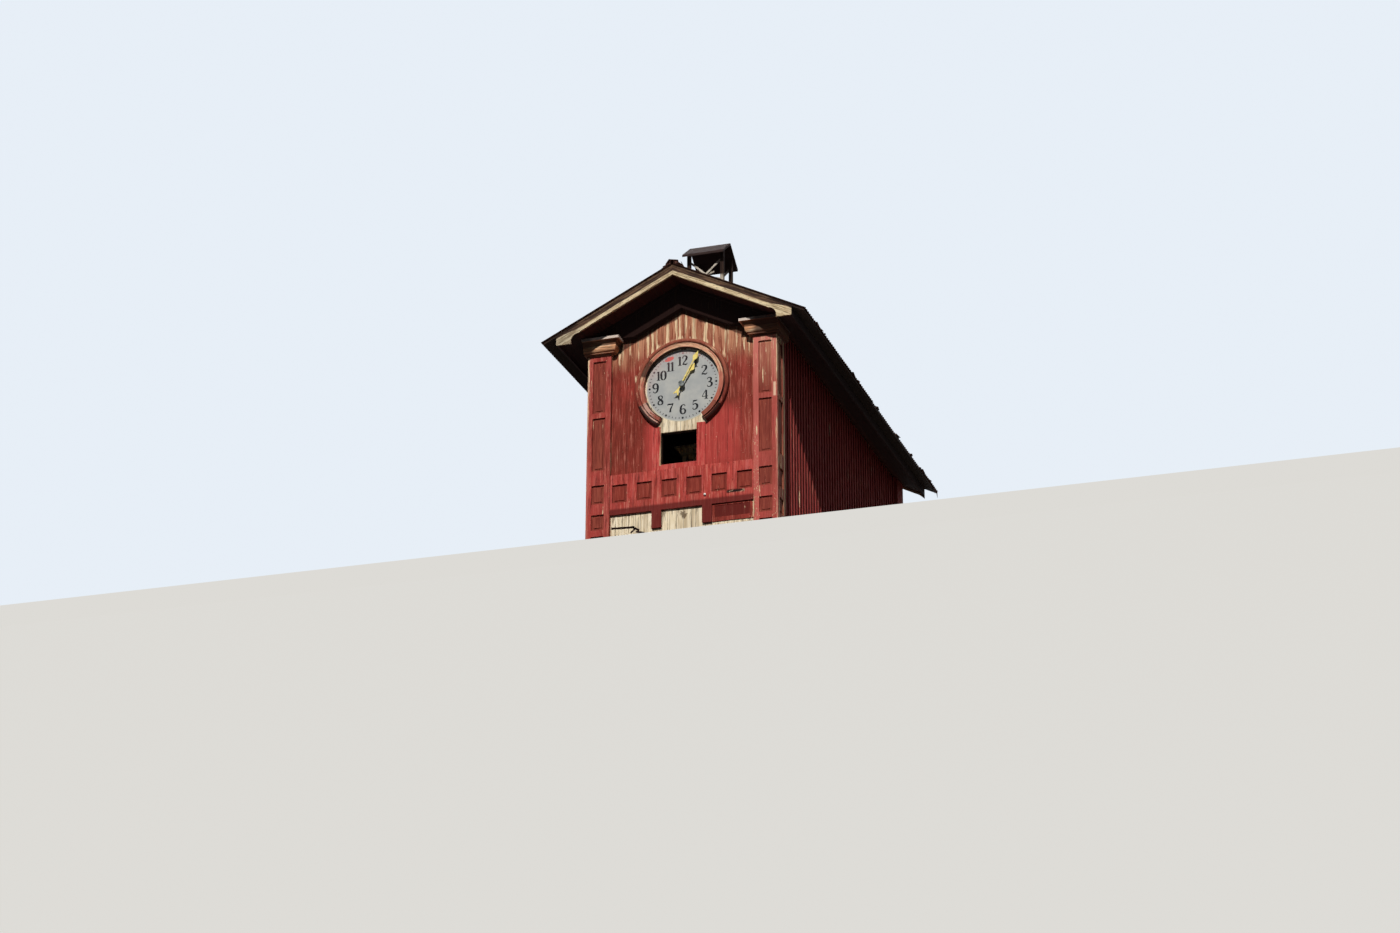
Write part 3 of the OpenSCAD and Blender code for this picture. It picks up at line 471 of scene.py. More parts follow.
def capital_paint():
    """Capital: grey pink fillet, painted shade in the hollow, orange wood with cream on the round
    moulding.
    """
    mix = Mixture("capital paint")
    grain = (0.10, 0.10, 1)
    wood, fine = bare_wood(mix, ("e6b48a", "cd8d66", "9a5f45"), grain)
    pale = mix.noise(16.0, (0.3, 0.3, 1), 4.0)
    colour = mix.blend(pale.ramp(0.52, 0.66) * 0.7, wood, "f0d3b0")
    foot, hollow, fillet = CAPITAL_Z
    # painted shade in the hollow under the top fillet
    colour = mix.blend(mix.z.between(hollow, fillet, 0.006) * 0.85, colour, "472519")
    colour = mix.blend(mix.z.ramp(fillet, fillet + 0.005) * 0.85, colour, "cfc5bd")
    # painted shade below the round moulding
    colour = mix.blend((1 - mix.z.ramp(foot, foot + 0.006)) * 0.7, colour, "6d4336")
    # painted shadow of the barge boards over the outer ends, deeper on the right
    outer = (mix.x.ramp(0.99, 1.10) * 0.86).most((0 - mix.x).ramp(1.2, 1.3) * 0.55)
    colour = mix.blend(outer, colour, "43261f")
    red = mix.noise(9.0, (0.5, 0.5, 1), 5.0, 0.6).ramp(0.60, 0.68)
    return mix.finish(mix.blend(red * 0.7, colour, "8e4336"), 0.8, fine * 0.3, 0.002)


def barge_paint():
    """Barge boards: cream paint worn to grey and tan along the grain of the slope."""
    mix = Mixture("barge paint")
    run = mix.x.size() * math.cos(PITCH) - mix.z * math.sin(PITCH)
    rise = mix.x.size() * math.sin(PITCH) + mix.z * math.cos(PITCH)
    place = mix.vector(run, mix.y, rise)
    wood, grain = bare_wood(mix, ("ccb894", "a8916f", "705a42"), (0.05, 1, 1), place)
    flake = mix.noise(30.0, (0.12, 1, 1), 5.0, 0.62, place)
    colour = mix.blend(flake.ramp(0.46, 0.60), "dccba8", wood)
    colour = mix.blend(mix.noise(5.0, (1, 1, 1), 3.0).ramp(0.5, 0.75) * 0.35, colour, "c39a7e")
    speck = mix.noise(60.0, (0.25, 1, 1), 4.0, 0.65, place)
    colour = mix.blend((1 - speck.ramp(0.34, 0.46)) * 0.7, colour, "6a5442")
    left = 1 - mix.x.ramp(-1.5, -1.1)
    colour = mix.blend(left * 0.65, colour, mix.blend(flake.ramp(0.45, 0.6), "a89d8b", "6f6455"))
    depth = RIDGE * math.cos(PITCH) - rise
    along = mix.x.size()
    rag = (mix.noise(14.0, (0.3, 1, 1), 4.0, 0.6, place) - 0.5) * 0.03
    band = BARGE_TOP + 0.052 - along.ramp(1.30, 1.62) * 0.030 + rag
    stain = mix.blend(mix.noise(30.0, (0.12, 1, 1), 4.0, 0.6, place).ramp(0.45, 0.65),
                      "3a2a24", "69503f")
    colour = mix.blend(1 - (depth - band).ramp(-0.002, 0.003), colour, stain)
    low = (depth - BARGE_TOP).ramp(0.108, 0.112) * (1 - along.ramp(1.15, 1.25))
    colour = mix.blend(low * 0.6, colour, "7a5c44")
    return mix.finish(colour, 0.85, grain * 0.4 - flake * 0.3, 0.002)


def dark_wood(name, tones, grain=ALONG, rake=False):
    """Timber under the roof, stained or painted dark; the raking frieze is blacker at its foot."""
    mix = Mixture(name)
    wood, fine = bare_wood(mix, tones, grain)
    line = (mix.x.size() * 9.0 - (mix.x.size() * 9.0).whole() - 0.5).size().ramp(0.475, 0.492)
    colour = mix.blend(line * 0.7, wood, "080404")
    # painted shade: the timber under the eaves, outside the walls, is near black
    colour = mix.blend(mix.x.size().ramp(*EAVES) * 0.75, colour, EAVES_SHADE)
    if rake:
        # painted shade: the raking frieze is near black along its foot
        foot = (1 - (mix.z + mix.x.size() * SLOPE).ramp(RIDGE - 0.40, RIDGE - 0.36))
        colour = mix.blend(foot * 0.8, colour, "1c0c09")
    return mix.finish(colour, 0.9, fine * 0.3 - line, 0.002)


def plain_wood(name, tones, grain=UPRIGHT, eaves=False):
    """Bare timber; under the eaves it can be near black, as painted shade."""
    mix = Mixture(name)
    wood, fine = bare_wood(mix, tones, grain)
    if eaves:
        # painted shade under the eaves
        wood = mix.blend(mix.x.size().ramp(*EAVES) * 0.85, wood, EAVES_SHADE)
    return mix.finish(wood, 0.85, fine, 0.0015)


def rusty_sheet():
    """Corrugated steel: brown rust, mauve bloom; the bell cote's sheets dark grey as painted
    shade.
    """
    mix = Mixture("rusty sheet")
    broad = mix.noise(2.1, (1, 1, 1), 5.0, 0.6)
    fine = mix.noise(38.0, (0.5, 1, 0.5), 5.0, 0.65)
    streak = mix.noise(9.0, (0.15, 1, 0.15), 4.0, 0.55)
    colour = mix.blend(broad.ramp(0.35, 0.65), "452a22", "6c4b43")
    colour = mix.blend(streak.ramp(0.5, 0.7) * 0.6, colour, "8c655c")
    colour = mix.blend(fine.ramp(0.5, 0.75) * 0.6, colour, "2b1712")
    # painted shade: the bell cote's sheets are near black
    colour = mix.blend(mix.z.ramp(COTE_FOOT, COTE_FOOT + 0.1) * 0.85, colour, "1f191a")
    return mix.finish(colour, 0.65 + fine * 0.25, fine, 0.001)


def lining_wood():
    """Lining of the window: pale at its front edge, dark behind as painted shade."""
    mix = Mixture("window lining")
    pale, _ = bare_wood(mix, CREAM)
    dark, fine = bare_wood(mix, ("4a352a", "32221a", "1c130f"))
    # painted shade: the lining is dark behind its front edge
    colour = mix.blend(mix.y.ramp(WALL + 0.002, WALL + 0.012), pale, dark)
    return mix.finish(colour, 0.9, fine, 0.001)


def dial_paint():
    """Dial: grey white, stained, with pink bloom at the upper left and a splash of red."""
    mix = Mixture("dial paint")
    cloud = mix.noise(6.0, (1, 1, 1), 4.0)
    fine = mix.noise(60.0, (1, 1, 1), 4.0)
    across = mix.z - DIAL_Z
    around = mix.reach(0.0, DIAL_Z)
    colour = mix.blend(cloud.ramp(0.35, 0.7), "a2a5a6", "b1b2af")
    colour = mix.blend(fine.ramp(0.55, 0.8) * 0.3, colour, "868c8b")
    bloom = (around - 0.1 + (across - mix.x) * 0.25).ramp(0.35, 0.62)
    colour = mix.blend(bloom * cloud.ramp(0.3, 0.6) * 0.35, colour, "c08682")
    rim = around.ramp(0.504, 0.510) * (1 - mix.z.ramp(3.05, 3.3))
    colour = mix.blend(rim * 0.7, colour, "cfcbb8")
    right, up = mix.x + 0.190, mix.z - 3.408
    run, rise = right * 0.97 + up * 0.24, up * 0.97 - right * 0.24
    splash = (run * run * 190.0 + rise * rise * 1100.0 + (cloud - 0.5) * 2.2).ramp(0.75, 1.0)
    colour = mix.blend((1 - splash) * 0.85, colour, "d2504b")
    return mix.finish(colour, 0.6, fine, 0.0006)


def numeral_paint():
    """Black of the numbers, gone pink and pale towards the top of the dial."""
    mix = Mixture("numeral paint")
    wear = mix.noise(55.0, (1, 1, 1), 4.0)
    fade = (mix.z - mix.x * 0.5 + (wear - 0.5) * 0.5).ramp(3.28, 3.62)
    colour = mix.blend(fade * 0.45, "1d1e22", "8d6a70")
    track = mix.reach(0.0, DIAL_Z).ramp(0.452, 0.456)
    track = track * (mix.z + (wear - 0.5) * 0.2).ramp(3.15, 3.42)
    colour = mix.blend(track * 0.75, colour, "a98080")
    return mix.finish(colour, 0.6, wear, 0.0004)


def hand_paint():
    """Hands: pale yellow paint, bare grey metal at the hub."""
    mix = Mixture("hand paint")
    wear = mix.noise(30.0, (1, 1, 1), 4.0)
    around = mix.reach(0.0, DIAL_Z)
    colour = mix.blend(wear.ramp(0.4, 0.7), "ecd880", "d3b95c")
    colour = mix.blend(mix.noise(90.0, (1, 1, 1), 3.0).ramp(0.66, 0.72) * 0.6, colour, "7a6030")
    hub = 1 - around.ramp(0.0425, 0.0440)
    metal = mix.blend(wear.ramp(0.35, 0.65), "4d5252", "8b9190")
    return mix.finish(mix.blend(hub, colour, metal), 0.5, wear, 0.0006)


def dull_metal(name, tones):
    """Dull surface between two tones."""
    mix = Mixture(name)
    wear = mix.noise(60.0, (1, 1, 1), 4.0)
    return mix.finish(mix.blend(wear.ramp(0.35, 0.65), *tones), 0.55, wear, 0.0005)


def cote_wood():
    """Bell cote timber: dark, the braces bleached; the right front post painted pale as sunlit
    below its roof's shadow.
    """
    mix = Mixture("cote timber")
    dark, fine = bare_wood(mix, ("2c1c18", "40302a", "180e0c"))
    pale, _ = bare_wood(mix, ("cfc6b8", "a39786", "6f6558"))
    # painted light and shade: the right front post is pale below the line of the cote roof's
    # shadow, dark above it
    lit = mix.x.ramp(0.10, 0.12) * (1 - mix.y.ramp(COTE_Y - 0.12, COTE_Y - 0.10))
    lit = lit * (1 - mix.z.ramp(5.02, 5.06))
    return mix.finish(mix.blend(lit, dark, pale), 0.85, fine, 0.0015)


# dark red brown: the soffits' paint, darkened further as painted shade
SOFFIT_PAINT_AND_SHADE = ("3f1d18", "50261f", "240f0c")
# near black: the raking frieze's dark paint, darkened further as painted shade
RAKE_PAINT_AND_SHADE = ("190b09", "20100c", "100606")
LOFT_TONES = ("6b5442", "574234", "33251c")
FLOOR_TONES = ("b8a488", "a08c70", "6a5a48")
# pale tones of the clock case: its wood, made paler as painted light so that it shows in the dark
# room
CASE_WOOD_AND_LIGHT = ("ecd9b8", "d8bf98", "9a7c5c")
CHAR_TONES = ("2b1a14", "1c100d", "0c0706")
BRACE_TONES = ("d6cec2", "aaa092", "766c60")

# Each finish with the solids that wear it
FINISHES = {
    "wall": (wall_red(), "front_wall_left front_wall_right front_wall_apron front_gable"),
    "frieze": (frieze_red(), "frieze apron_stiles"),
    "window": (window_red(), "window_boards"),
    "apron": (apron_red(), "apron_panel"),
    "pilaster": (pilaster_red(), "pilaster_left pilaster_right"),
    "side": (side_red(), "side_wall_left side_wall_right rear_wall rear_post_left "
                         "rear_post_right"),
    "ring": (ring_red(), "dial_ring ring_pieces"),
    "capital": (capital_paint(), "capital_left capital_right"),
    "barge": (barge_paint(), "front_barge_left front_barge_right rear_barges"),
    "soffit": (dark_wood("soffit paint and shade", SOFFIT_PAINT_AND_SHADE), "soffits fascias"),
    "rake": (dark_wood("raking frieze paint and shade", RAKE_PAINT_AND_SHADE, UPRIGHT, True), "rake_frieze"),
    "loft": (plain_wood("roof timber", LOFT_TONES, ALONG, True),
             "wall_plates rafters ridge_board roof_boards_left roof_boards_right"),
    "lining": (lining_wood(), ""),
    "floor": (plain_wood("floor timber", FLOOR_TONES, ALONG), "floor"),
    "case": (plain_wood("case varnish", CASE_WOOD_AND_LIGHT), "clock_case case_cornice"),
    "sheet": (rusty_sheet(), "roof_sheets_left roof_sheets_right ridge_cap cote_roof_front "
                             "cote_roof_back"),
    "dial": (dial_paint(), "dial"),
    "numeral": (numeral_paint(), ""),
    "hand": (hand_paint(), "hour_hand minute_hand"),
    "bush": (dull_metal("bush metal", ("55585a", "7d8182")), "dial_bush"),
    "char": (plain_wood("splintered timber", CHAR_TONES, (0.06, 1, 1)), ""),
    "knob": (dull_metal("white knob", ("d8d8d4", "f2f2ee")), ""),
    "cote": (cote_wood(), "cote_saddles cote_posts"),
    "brace": (plain_wood("brace timber", BRACE_TONES, (1, 1, 1)), "cote_braces"),
}


def wear(piece, finish):
    piece.data.materials.clear()
    piece.data.materials.append(FINISHES[finish][0])


for finish, (_, nodes) in FINISHES.items():
    for node in nodes.split():
        wear(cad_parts[node], finish)


# Modelling


def mode(name):
    bpy.ops.object.mode_set(mode=name)


def alone(piece):
    """Leaves one piece selected and active."""
    bpy.ops.object.select_all(action="DESELECT")
    piece.select_set(True)
    bpy.context.view_layer.objects.active = piece


def settle():
    """Puts a new piece's place into its mesh."""
    bpy.ops.object.transform_apply(location=True, rotation=True, scale=True)
    return bpy.context.object


def block(low, high):
    """Rectangular block between two corners."""
    bpy.ops.object.select_all(action="DESELECT")
    bpy.ops.mesh.primitive_cube_add(
        size=1, location=[(a + b) / 2 for a, b in zip(low, high)],
        scale=[b - a for a, b in zip(low, high)])
    return settle()


def joined(pieces, name):
    """Makes one named piece of several."""
    bpy.ops.object.select_all(action="DESELECT")
    for piece in pieces:
        piece.select_set(True)
    bpy.context.view_layer.objects.active = pieces[0]
    if len(pieces) > 1:
        bpy.ops.object.join()
    piece = bpy.context.object
    piece.name = piece.data.name = name
    return piece


def pick(piece, kind, test):
    """Enters edit mode with the faces or edges chosen by their middle and their run or normal."""
    alone(piece)
    mode("EDIT")
    bpy.ops.mesh.select_mode(type=kind)
    bpy.ops.mesh.select_all(action="DESELECT")
    mode("OBJECT")
    mesh = piece.data
    if kind == "EDGE":
        for edge in mesh.edges:
            a, b = [mesh.vertices[i].co for i in edge.vertices]
            edge.select = test((a + b) / 2, (b - a).normalized())
    else:
        for face in mesh.polygons:
            face.select = test(face.center, face.normal)
    mode("EDIT")


def round_edges(piece, width, test):
    """Rounds the edges that the test picks by their middle and direction."""
    pick(piece, "EDGE", test)
    bpy.ops.mesh.bevel(offset=width, segments=2, affect="EDGES")
    mode("OBJECT")


def trimmed(piece, point, normal):
    """Cuts off what lies on the side that the normal points to."""
    alone(piece)
    mode("EDIT")
    bpy.ops.mesh.select_all(action="SELECT")
    bpy.ops.mesh.bisect(plane_co=point, plane_no=normal, use_fill=True, clear_outer=True)
    mode("OBJECT")


def under_roof(piece, drop=SOFFIT):
    """Cuts a piece off below both roof slopes."""
    for side in (-1, 1):
        trimmed(piece, (0, 0, RIDGE - drop), (side * math.sin(PITCH), 0, math.cos(PITCH)))


def dress(piece, material):
    """Finishes a piece that is fixed to the tower."""
    wear(piece, material)
    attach(piece, "tower")
    return piece


def front_boarding():
    """Narrow upright boards of the front wall, let round the window."""
    draw = random.Random(4)
    pieces = []
    left, right, sill, head = WINDOW
    for i in range(-10, 10):
        x0, x1 = i * BOARD_W, (i + 1) * BOARD_W
        proud = WALL - draw.uniform(0.0035, 0.0065)
        spans = [(x0, x1, BOARD_FOOT, BOARD_TOP)]
        if x1 > left and x0 < right:
            spans = [(x0, x1, BOARD_FOOT, sill), (x0, x1, head, BOARD_TOP)]
            if x0 < left:
                spans.append((x0, left, sill, head))
            if x1 > right:
                spans.append((right, x1, sill, head))
        for a, b, z0, z1 in spans:
            pieces.append(block((a + 0.0006, proud, z0), (b - 0.0006, WALL + 0.002, z1)))
    boards = joined(pieces, "front_boarding")
    round_edges(boards, 0.003, lambda p, run: abs(run.z) > 0.9 and p.y < WALL)
    under_roof(boards, SOFFIT + 0.12)
    return dress(boards, "wall")


def side_boarding(side):
    """Boards and thick battens along one side, from the pilaster to the rear post."""
    draw = random.Random(7 + side)
    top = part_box("side_wall_left")[1].z
    pieces = []
    for i in range(SIDE_BOARDS + 1):
        y0 = SIDE_START + max(i - 0.5, 0) * SIDE_STEP
        y1 = SIDE_START + min(i + 0.5, SIDE_BOARDS) * SIDE_STEP
        out = SIDE + draw.uniform(0.002, 0.005)
        x0, x1 = sorted((side * (SIDE - 0.002), side * out))
        pieces.append(block((x0, y0 + BOARD_GAP, BOARD_FOOT), (x1, y1 - BOARD_GAP, top)))
        if i < SIDE_BOARDS:
            out = SIDE + BATTEN_OUT + draw.uniform(-0.001, 0.001)
            x0, x1 = sorted((side * (SIDE - 0.001), side * out))
            y = y1 + draw.uniform(-0.0012, 0.0012)
            pieces.append(block((x0, y - BATTEN_HALF, BATTEN_FOOT),
                                (x1, y + BATTEN_HALF, top + 0.004)))
    boards = joined(pieces, "side_boarding_" + ("left" if side < 0 else "right"))
    round_edges(boards, 0.003, lambda p, run: abs(run.z) > 0.9 and abs(p.x) > SIDE + 0.0005)
    under_roof(boards)
    return dress(boards, "side")


def rear_boarding():
    """Boards and battens of the rear wall."""
    draw = random.Random(19)
    pieces = []
    for i in range(REAR_BOARDS + 1):
        x0 = -PILASTER_IN + max(i - 0.5, 0) * REAR_STEP
        x1 = -PILASTER_IN + min(i + 0.5, REAR_BOARDS) * REAR_STEP
        out = REAR_WALL + draw.uniform(0.002, 0.005)
        pieces.append(block((x0 + BOARD_GAP, REAR_WALL - 0.002, BOARD_FOOT),
                            (x1 - BOARD_GAP, out, BOARD_TOP)))
        if i < REAR_BOARDS:
            x = x1 + draw.uniform(-0.0012, 0.0012)
            out = REAR_WALL + BATTEN_OUT + draw.uniform(-0.001, 0.001)
            pieces.append(block((x - BATTEN_HALF, REAR_WALL - 0.001, BATTEN_FOOT),
                                (x + BATTEN_HALF, out, BOARD_TOP)))
    boards = joined(pieces, "rear_boarding")
    round_edges(boards, 0.003, lambda p, run: abs(run.z) > 0.9 and p.y > REAR_WALL + 0.0005)
    under_roof(boards)
    return dress(boards, "side")


def four_boards(outer, inner, y0, y1):
    """Boards round an opening: two upright ones, and two between them above and below."""
    x0, x1, z0, z1 = outer
    a, b, low, high = inner
    return [
        block((x0, y0, z0), (a, y1, z1)), block((b, y0, z0), (x1, y1, z1)),
        block((a, y0, high), (b, y1, z1)), block((a, y0, z0), (b, y1, low)),
    ]


def window_lining():
    """Thin bare boards that line the window opening."""
    x0, x1, z0, z1 = WINDOW
    inner = (x0 + LINING_T, x1 - LINING_T, z0 + LINING_T, z1 - LINING_T)
    pieces = four_boards(WINDOW, inner, WALL - 0.004, WALL + WALL_T)
    lining = joined(pieces, "window_lining")
    round_edges(lining, 0.001, lambda p, run: p.y < WALL)
    return dress(lining, "lining")


def barge_strips():
    """Thin moulding along the lower edge of each front barge board."""
    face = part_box("front_barge_left")[0].y
    length = BARGE_HALF / math.cos(PITCH)
    low = RIDGE - (BARGE_DROP + BARGE_DEPTH) / math.cos(PITCH) + STRIP_W / math.cos(PITCH)
    pieces = []
    for side in (-1, 1):
        strip = block((0.0, face - 0.012, -STRIP_W), (length, face + 0.001, 0.0))
        if side < 0:
            strip.data.transform(Matrix.Rotation(math.pi, 4, "Z"))
            strip.data.transform(Matrix.Translation((0, 2 * face - 0.011, 0)))
        turn = Matrix.Translation((0, 0, low)) @ Matrix.Rotation(side * PITCH, 4, "Y")
        strip.data.transform(turn)
        trimmed(strip, (0, 0, 0), (-side, 0, 0))
        pieces.append(strip)
    strips = joined(pieces, "barge_strips")
    round_edges(strips, 0.004, lambda p, run: abs(run.y) < 0.1 and p.y < face - 0.008)
    return dress(strips, "barge")


# Numbers: each stroke is a row of points across, up and half the stroke's width
STROKES = {
    "0": [[(.30, .975, .03), (.13, .84, .085), (.085, .5, .105), (.13, .16, .085),
           (.30, .025, .03), (.47, .16, .085), (.515, .5, .105), (.47, .84, .085),
           (.30, .975, .03)]],
    "1": [[(.32, .95, .085), (.32, .5, .09), (.32, .05, .085)],
          [(.13, .025, .025), (.32, .03, .03), (.51, .025, .025)],
          [(.13, .80, .025), (.22, .87, .035), (.32, .95, .04)]],
    "2": [[(.13, .74, .075), (.115, .78, .07)],
          [(.08, .74, .04), (.12, .90, .04), (.29, .97, .045), (.47, .86, .09), (.46, .66, .10),
           (.33, .44, .06), (.16, .22, .04), (.07, .06, .04)],
          [(.07, .07, .05), (.22, .11, .065), (.40, .06, .075), (.51, .10, .04), (.54, .25, .02)]],
    "3": [[(.13, .79, .07), (.135, .81, .065)], [(.13, .19, .08), (.135, .21, .075)],
          [(.10, .84, .04), (.18, .95, .04), (.30, .975, .045), (.44, .86, .085), (.43, .68, .085),
           (.31, .56, .045), (.22, .53, .03), (.36, .50, .05), (.49, .36, .10), (.48, .17, .10),
           (.32, .03, .045), (.16, .06, .04), (.09, .16, .04)]],
    "4": [[(.40, .97, .035), (.22, .64, .03), (.05, .31, .035)],
          [(.04, .29, .035), (.30, .29, .035), (.58, .29, .035)],
          [(.42, .92, .085), (.42, .5, .09), (.42, .06, .085)],
          [(.25, .025, .025), (.42, .03, .03), (.59, .025, .025)]],
    "5": [[(.14, .91, .07), (.30, .92, .065), (.50, .97, .03)],
          [(.13, .95, .03), (.12, .72, .025), (.11, .50, .03)],
          [(.11, .50, .03), (.26, .60, .05), (.44, .51, .09), (.50, .31, .105), (.43, .12, .08),
           (.28, .025, .045), (.14, .06, .04), (.08, .16, .04)],
          [(.12, .19, .08), (.125, .21, .075)]],
    "6": [[(.46, .81, .07), (.465, .83, .065)],
          [(.49, .84, .04), (.41, .95, .04), (.29, .965, .045), (.14, .80, .085), (.09, .50, .105),
           (.11, .22, .10), (.21, .05, .06), (.32, .025, .045), (.46, .13, .085), (.50, .31, .095),
           (.44, .48, .07), (.32, .55, .04), (.18, .48, .035)]],
    "7": [[(.06, .78, .03), (.09, .92, .055), (.25, .91, .07), (.42, .92, .065), (.55, .97, .03)],
          [(.54, .95, .035), (.42, .68, .055), (.31, .40, .08), (.27, .08, .09)]],
    "8": [[(.30, .975, .035), (.15, .87, .07), (.15, .70, .08), (.30, .54, .105), (.47, .34, .09),
           (.47, .13, .08), (.30, .025, .035), (.12, .12, .07), (.12, .32, .06), (.29, .50, .035),
           (.44, .68, .05), (.44, .87, .06), (.30, .975, .035)]],
}
STROKES["9"] = [[(.60 - x, 1 - z, r) for x, z, r in stroke] for stroke in STROKES["6"]]


def stroke(points, x, z, wide):
    """One brush stroke of a number as a flat bar that follows its points."""
    bpy.ops.object.select_all(action="DESELECT")
    bpy.ops.curve.primitive_bezier_curve_add(location=(0, 0, 0))
    curve = bpy.context.object
    spline = curve.data.splines[0]
    spline.bezier_points.add(len(points) - 2)
    for knot, (px, pz, radius) in zip(spline.bezier_points, points):
        knot.handle_left_type = knot.handle_right_type = "AUTO"
        knot.co = (x + px * DIGIT * wide, 0, z + pz * DIGIT)
        knot.radius = radius * DIGIT * 1.08
    curve.data.resolution_u = 5
    curve.data.bevel_depth = 1.0
    curve.data.bevel_resolution = 2
    curve.data.use_fill_caps = True
    bpy.ops.object.convert(target="MESH")
    return bpy.context.object


# The painter's slips: how far each number sits from its place, and how tight the pairs are
SLIPS = {2: (-0.010, 0.004), 3: (0.016, 0.0), 4: (0.0, 0.010), 5: (-0.006, 0.008),
         6: (0.004, 0.012), 7: (0.008, 0.0), 8: (-0.004, 0.003), 9: (-0.028, 0.004),
         11: (0.002, -0.018), 12: (-0.010, 0.0)}
PAIRS = {"10": 0.52, "11": 0.38, "12": 0.52}


def dial_numbers():
    """The twelve numbers, upright on the dial, the single figures wider than those in pairs."""
    pieces = []
    for hour in range(1, 13):
        turn = math.radians(90 - 30 * hour)
        figure = str(hour)
        wide = 1.14 if len(figure) == 1 else 1.0
        advance = PAIRS.get(figure, 0.6) * DIGIT
        width = advance * (len(figure) - 1) + 0.60 * DIGIT * wide
        right, up = SLIPS.get(hour, (0.0, 0.0))
        x = NUMBER_R * math.cos(turn) - width / 2 + right
        z = DIAL_Z + NUMBER_R * math.sin(turn) - DIGIT / 2 + up
        for digit in figure:
            pieces += [stroke(points, x, z, wide) for points in STROKES[digit]]
            x += advance
    numbers = joined(pieces, "dial_numbers")
    flatten(numbers, 0.02)
    return dress(numbers, "numeral")


def flatten(piece, share):
    """Presses a piece that lies on both sides of y = 0 to a thin layer on the dial."""
    alone(piece)
    mode("EDIT")
    bpy.ops.mesh.select_all(action="SELECT")
    bpy.ops.transform.resize(value=(1, share, 1), center_override=(0, 0, 0))
    bpy.ops.transform.translate(value=(0, DIAL_Y - 0.0002, 0))
    mode("OBJECT")


def dial_marks():
    """Minute strokes and hour dots round the edge of the dial."""
    pieces = []
    for minute in range(60):
        turn = math.radians(6 * minute)
        place = (MARK_R * math.sin(turn), 0, DIAL_Z + MARK_R * math.cos(turn))
        if minute % 5 == 0:
            bpy.ops.mesh.primitive_uv_sphere_add(
                segments=20, ring_count=10, radius=0.0155, location=place)
            pieces.append(settle())
        else:
            mark = block((-0.0046, -0.004, -0.0115), (0.0046, 0.004, 0.0115))
            mark.data.transform(Matrix.Translation(place) @ Matrix.Rotation(turn, 4, "Y"))
            pieces.append(mark)
    marks = joined(pieces, "dial_marks")
    flatten(marks, 0.1)
    return dress(marks, "numeral")


def plank(half_x, y0, y1, half_z, turn_y, turn_z, at):
    """A thin block modelled round its own middle, tilted in degrees and set at its place."""
    piece = block((-half_x, y0, -half_z), (half_x, y1, half_z))
    tilt = Matrix.Rotation(math.radians(turn_z), 4, "Z")
    tilt = tilt @ Matrix.Rotation(math.radians(turn_y), 4, "Y")
    piece.data.transform(Matrix.Translation(at) @ tilt)
    return piece


def planks(name, rows, edge=0.001, test=lambda p, run: True):
    """Several planks as one piece with rounded edges."""
    piece = joined([plank(*row) for row in rows], name)
    round_edges(piece, edge, test)
    return piece


def cap_shreds():
    """Torn, upturned end of the ridge cap over the front edge of the roof."""
    y = FRONT - 0.30
    shreds = planks("ridge_cap_shreds", (
        (0.055, -0.10, 0.10, 0.002, -24, 8, (-0.105, y, 4.600)),
        (0.045, -0.08, 0.09, 0.002, -52, -6, (-0.070, y - 0.02, 4.645)),
        (0.060, -0.07, 0.10, 0.002, 6, 12, (0.000, y - 0.03, 4.664)),
        (0.050, -0.09, 0.09, 0.002, 40, -9, (0.080, y + 0.01, 4.628)),
        (0.045, -0.06, 0.10, 0.002, 62, 10, (0.130, y - 0.04, 4.580)),
        (0.030, -0.03, 0.10, 0.015, 14, -15, (0.045, y - 0.06, 4.625)),
    ), 0.0006)
    return dress(shreds, "sheet")


def sheet_curls():
    """Bent corners of the roof sheets along the right eaves, and torn tips at the rear end."""
    pieces = []
    edge = 1.832
    top = RIDGE - edge * SLOPE + 0.010
    for y, half, turn, twist in ((0.22, 0.085, 9, 6), (0.40, 0.05, 14, -9), (0.56, 0.03, 3, 12),
                                 (2.02, 0.10, 12, 7), (2.26, 0.04, 6, -10), (3.30, 0.07, 14, 8),
                                 (4.40, 0.09, 10, -6), (5.20, 0.05, 5, 10), (5.90, 0.10, 12, 5),
                                 (6.30, 0.05, 5, -12)):
        pieces.append(plank(0.034, -half, half, 0.001, turn, twist, (edge, FRONT + y, top)))
    tip_x, tip_z = 1.862, 3.672
    for y, drop in ((6.52, 0.075), (6.60, 0.045), (6.68, 0.09)):
        tip = block((-0.001, -0.045, -drop), (0.001, 0.045, 0.01))
        tip.data.transform(Matrix.Translation((tip_x, FRONT + y, tip_z))
                           @ Matrix.Rotation(math.radians(4), 4, "Z"))
        trimmed(tip, (tip_x, FRONT + y - 0.045, tip_z - 0.4 * drop), (0, -0.55, -0.8))
        pieces.append(tip)
    curls = joined(pieces, "sheet_curls")
    round_edges(curls, 0.0003, lambda p, run: True)
    return dress(curls, "sheet")


def broken_edge():
    """Splintered dark board end across the left bay under the frieze."""
    y = WALL - 0.003
    edge = planks("apron_splinters", (
        (0.165, -0.003, 0.003, 0.015, 2.6, 0, (-0.836, y, 1.045)),
        (0.060, -0.003, 0.003, 0.014, 30, 0, (-0.655, y, 1.016)),
        (0.045, -0.003, 0.003, 0.012, -42, 0, (-0.690, y, 0.990)),
        (0.060, -0.003, 0.003, 0.013, 14, 0, (-0.590, y, 0.957)),
        (0.030, -0.003, 0.003, 0.012, 5, 0, (0.525, y, 0.942)),
    ), test=lambda p, run: p.y < WALL - 0.004)
    return dress(edge, "char")


def panel_frame():
    """Worn frame of thin boards round the field of the apron panel."""
    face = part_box("apron_panel")[0].y
    pieces = four_boards((0.4225, 1.009, 0.983, 1.229), (0.4585, 0.944, 1.044, 1.205),
                         face - 0.006, face)
    boards = joined(pieces, "panel_frame")
    round_edges(boards, 0.0015, lambda p, run: p.y < face - 0.003)
    return dress(boards, "apron")


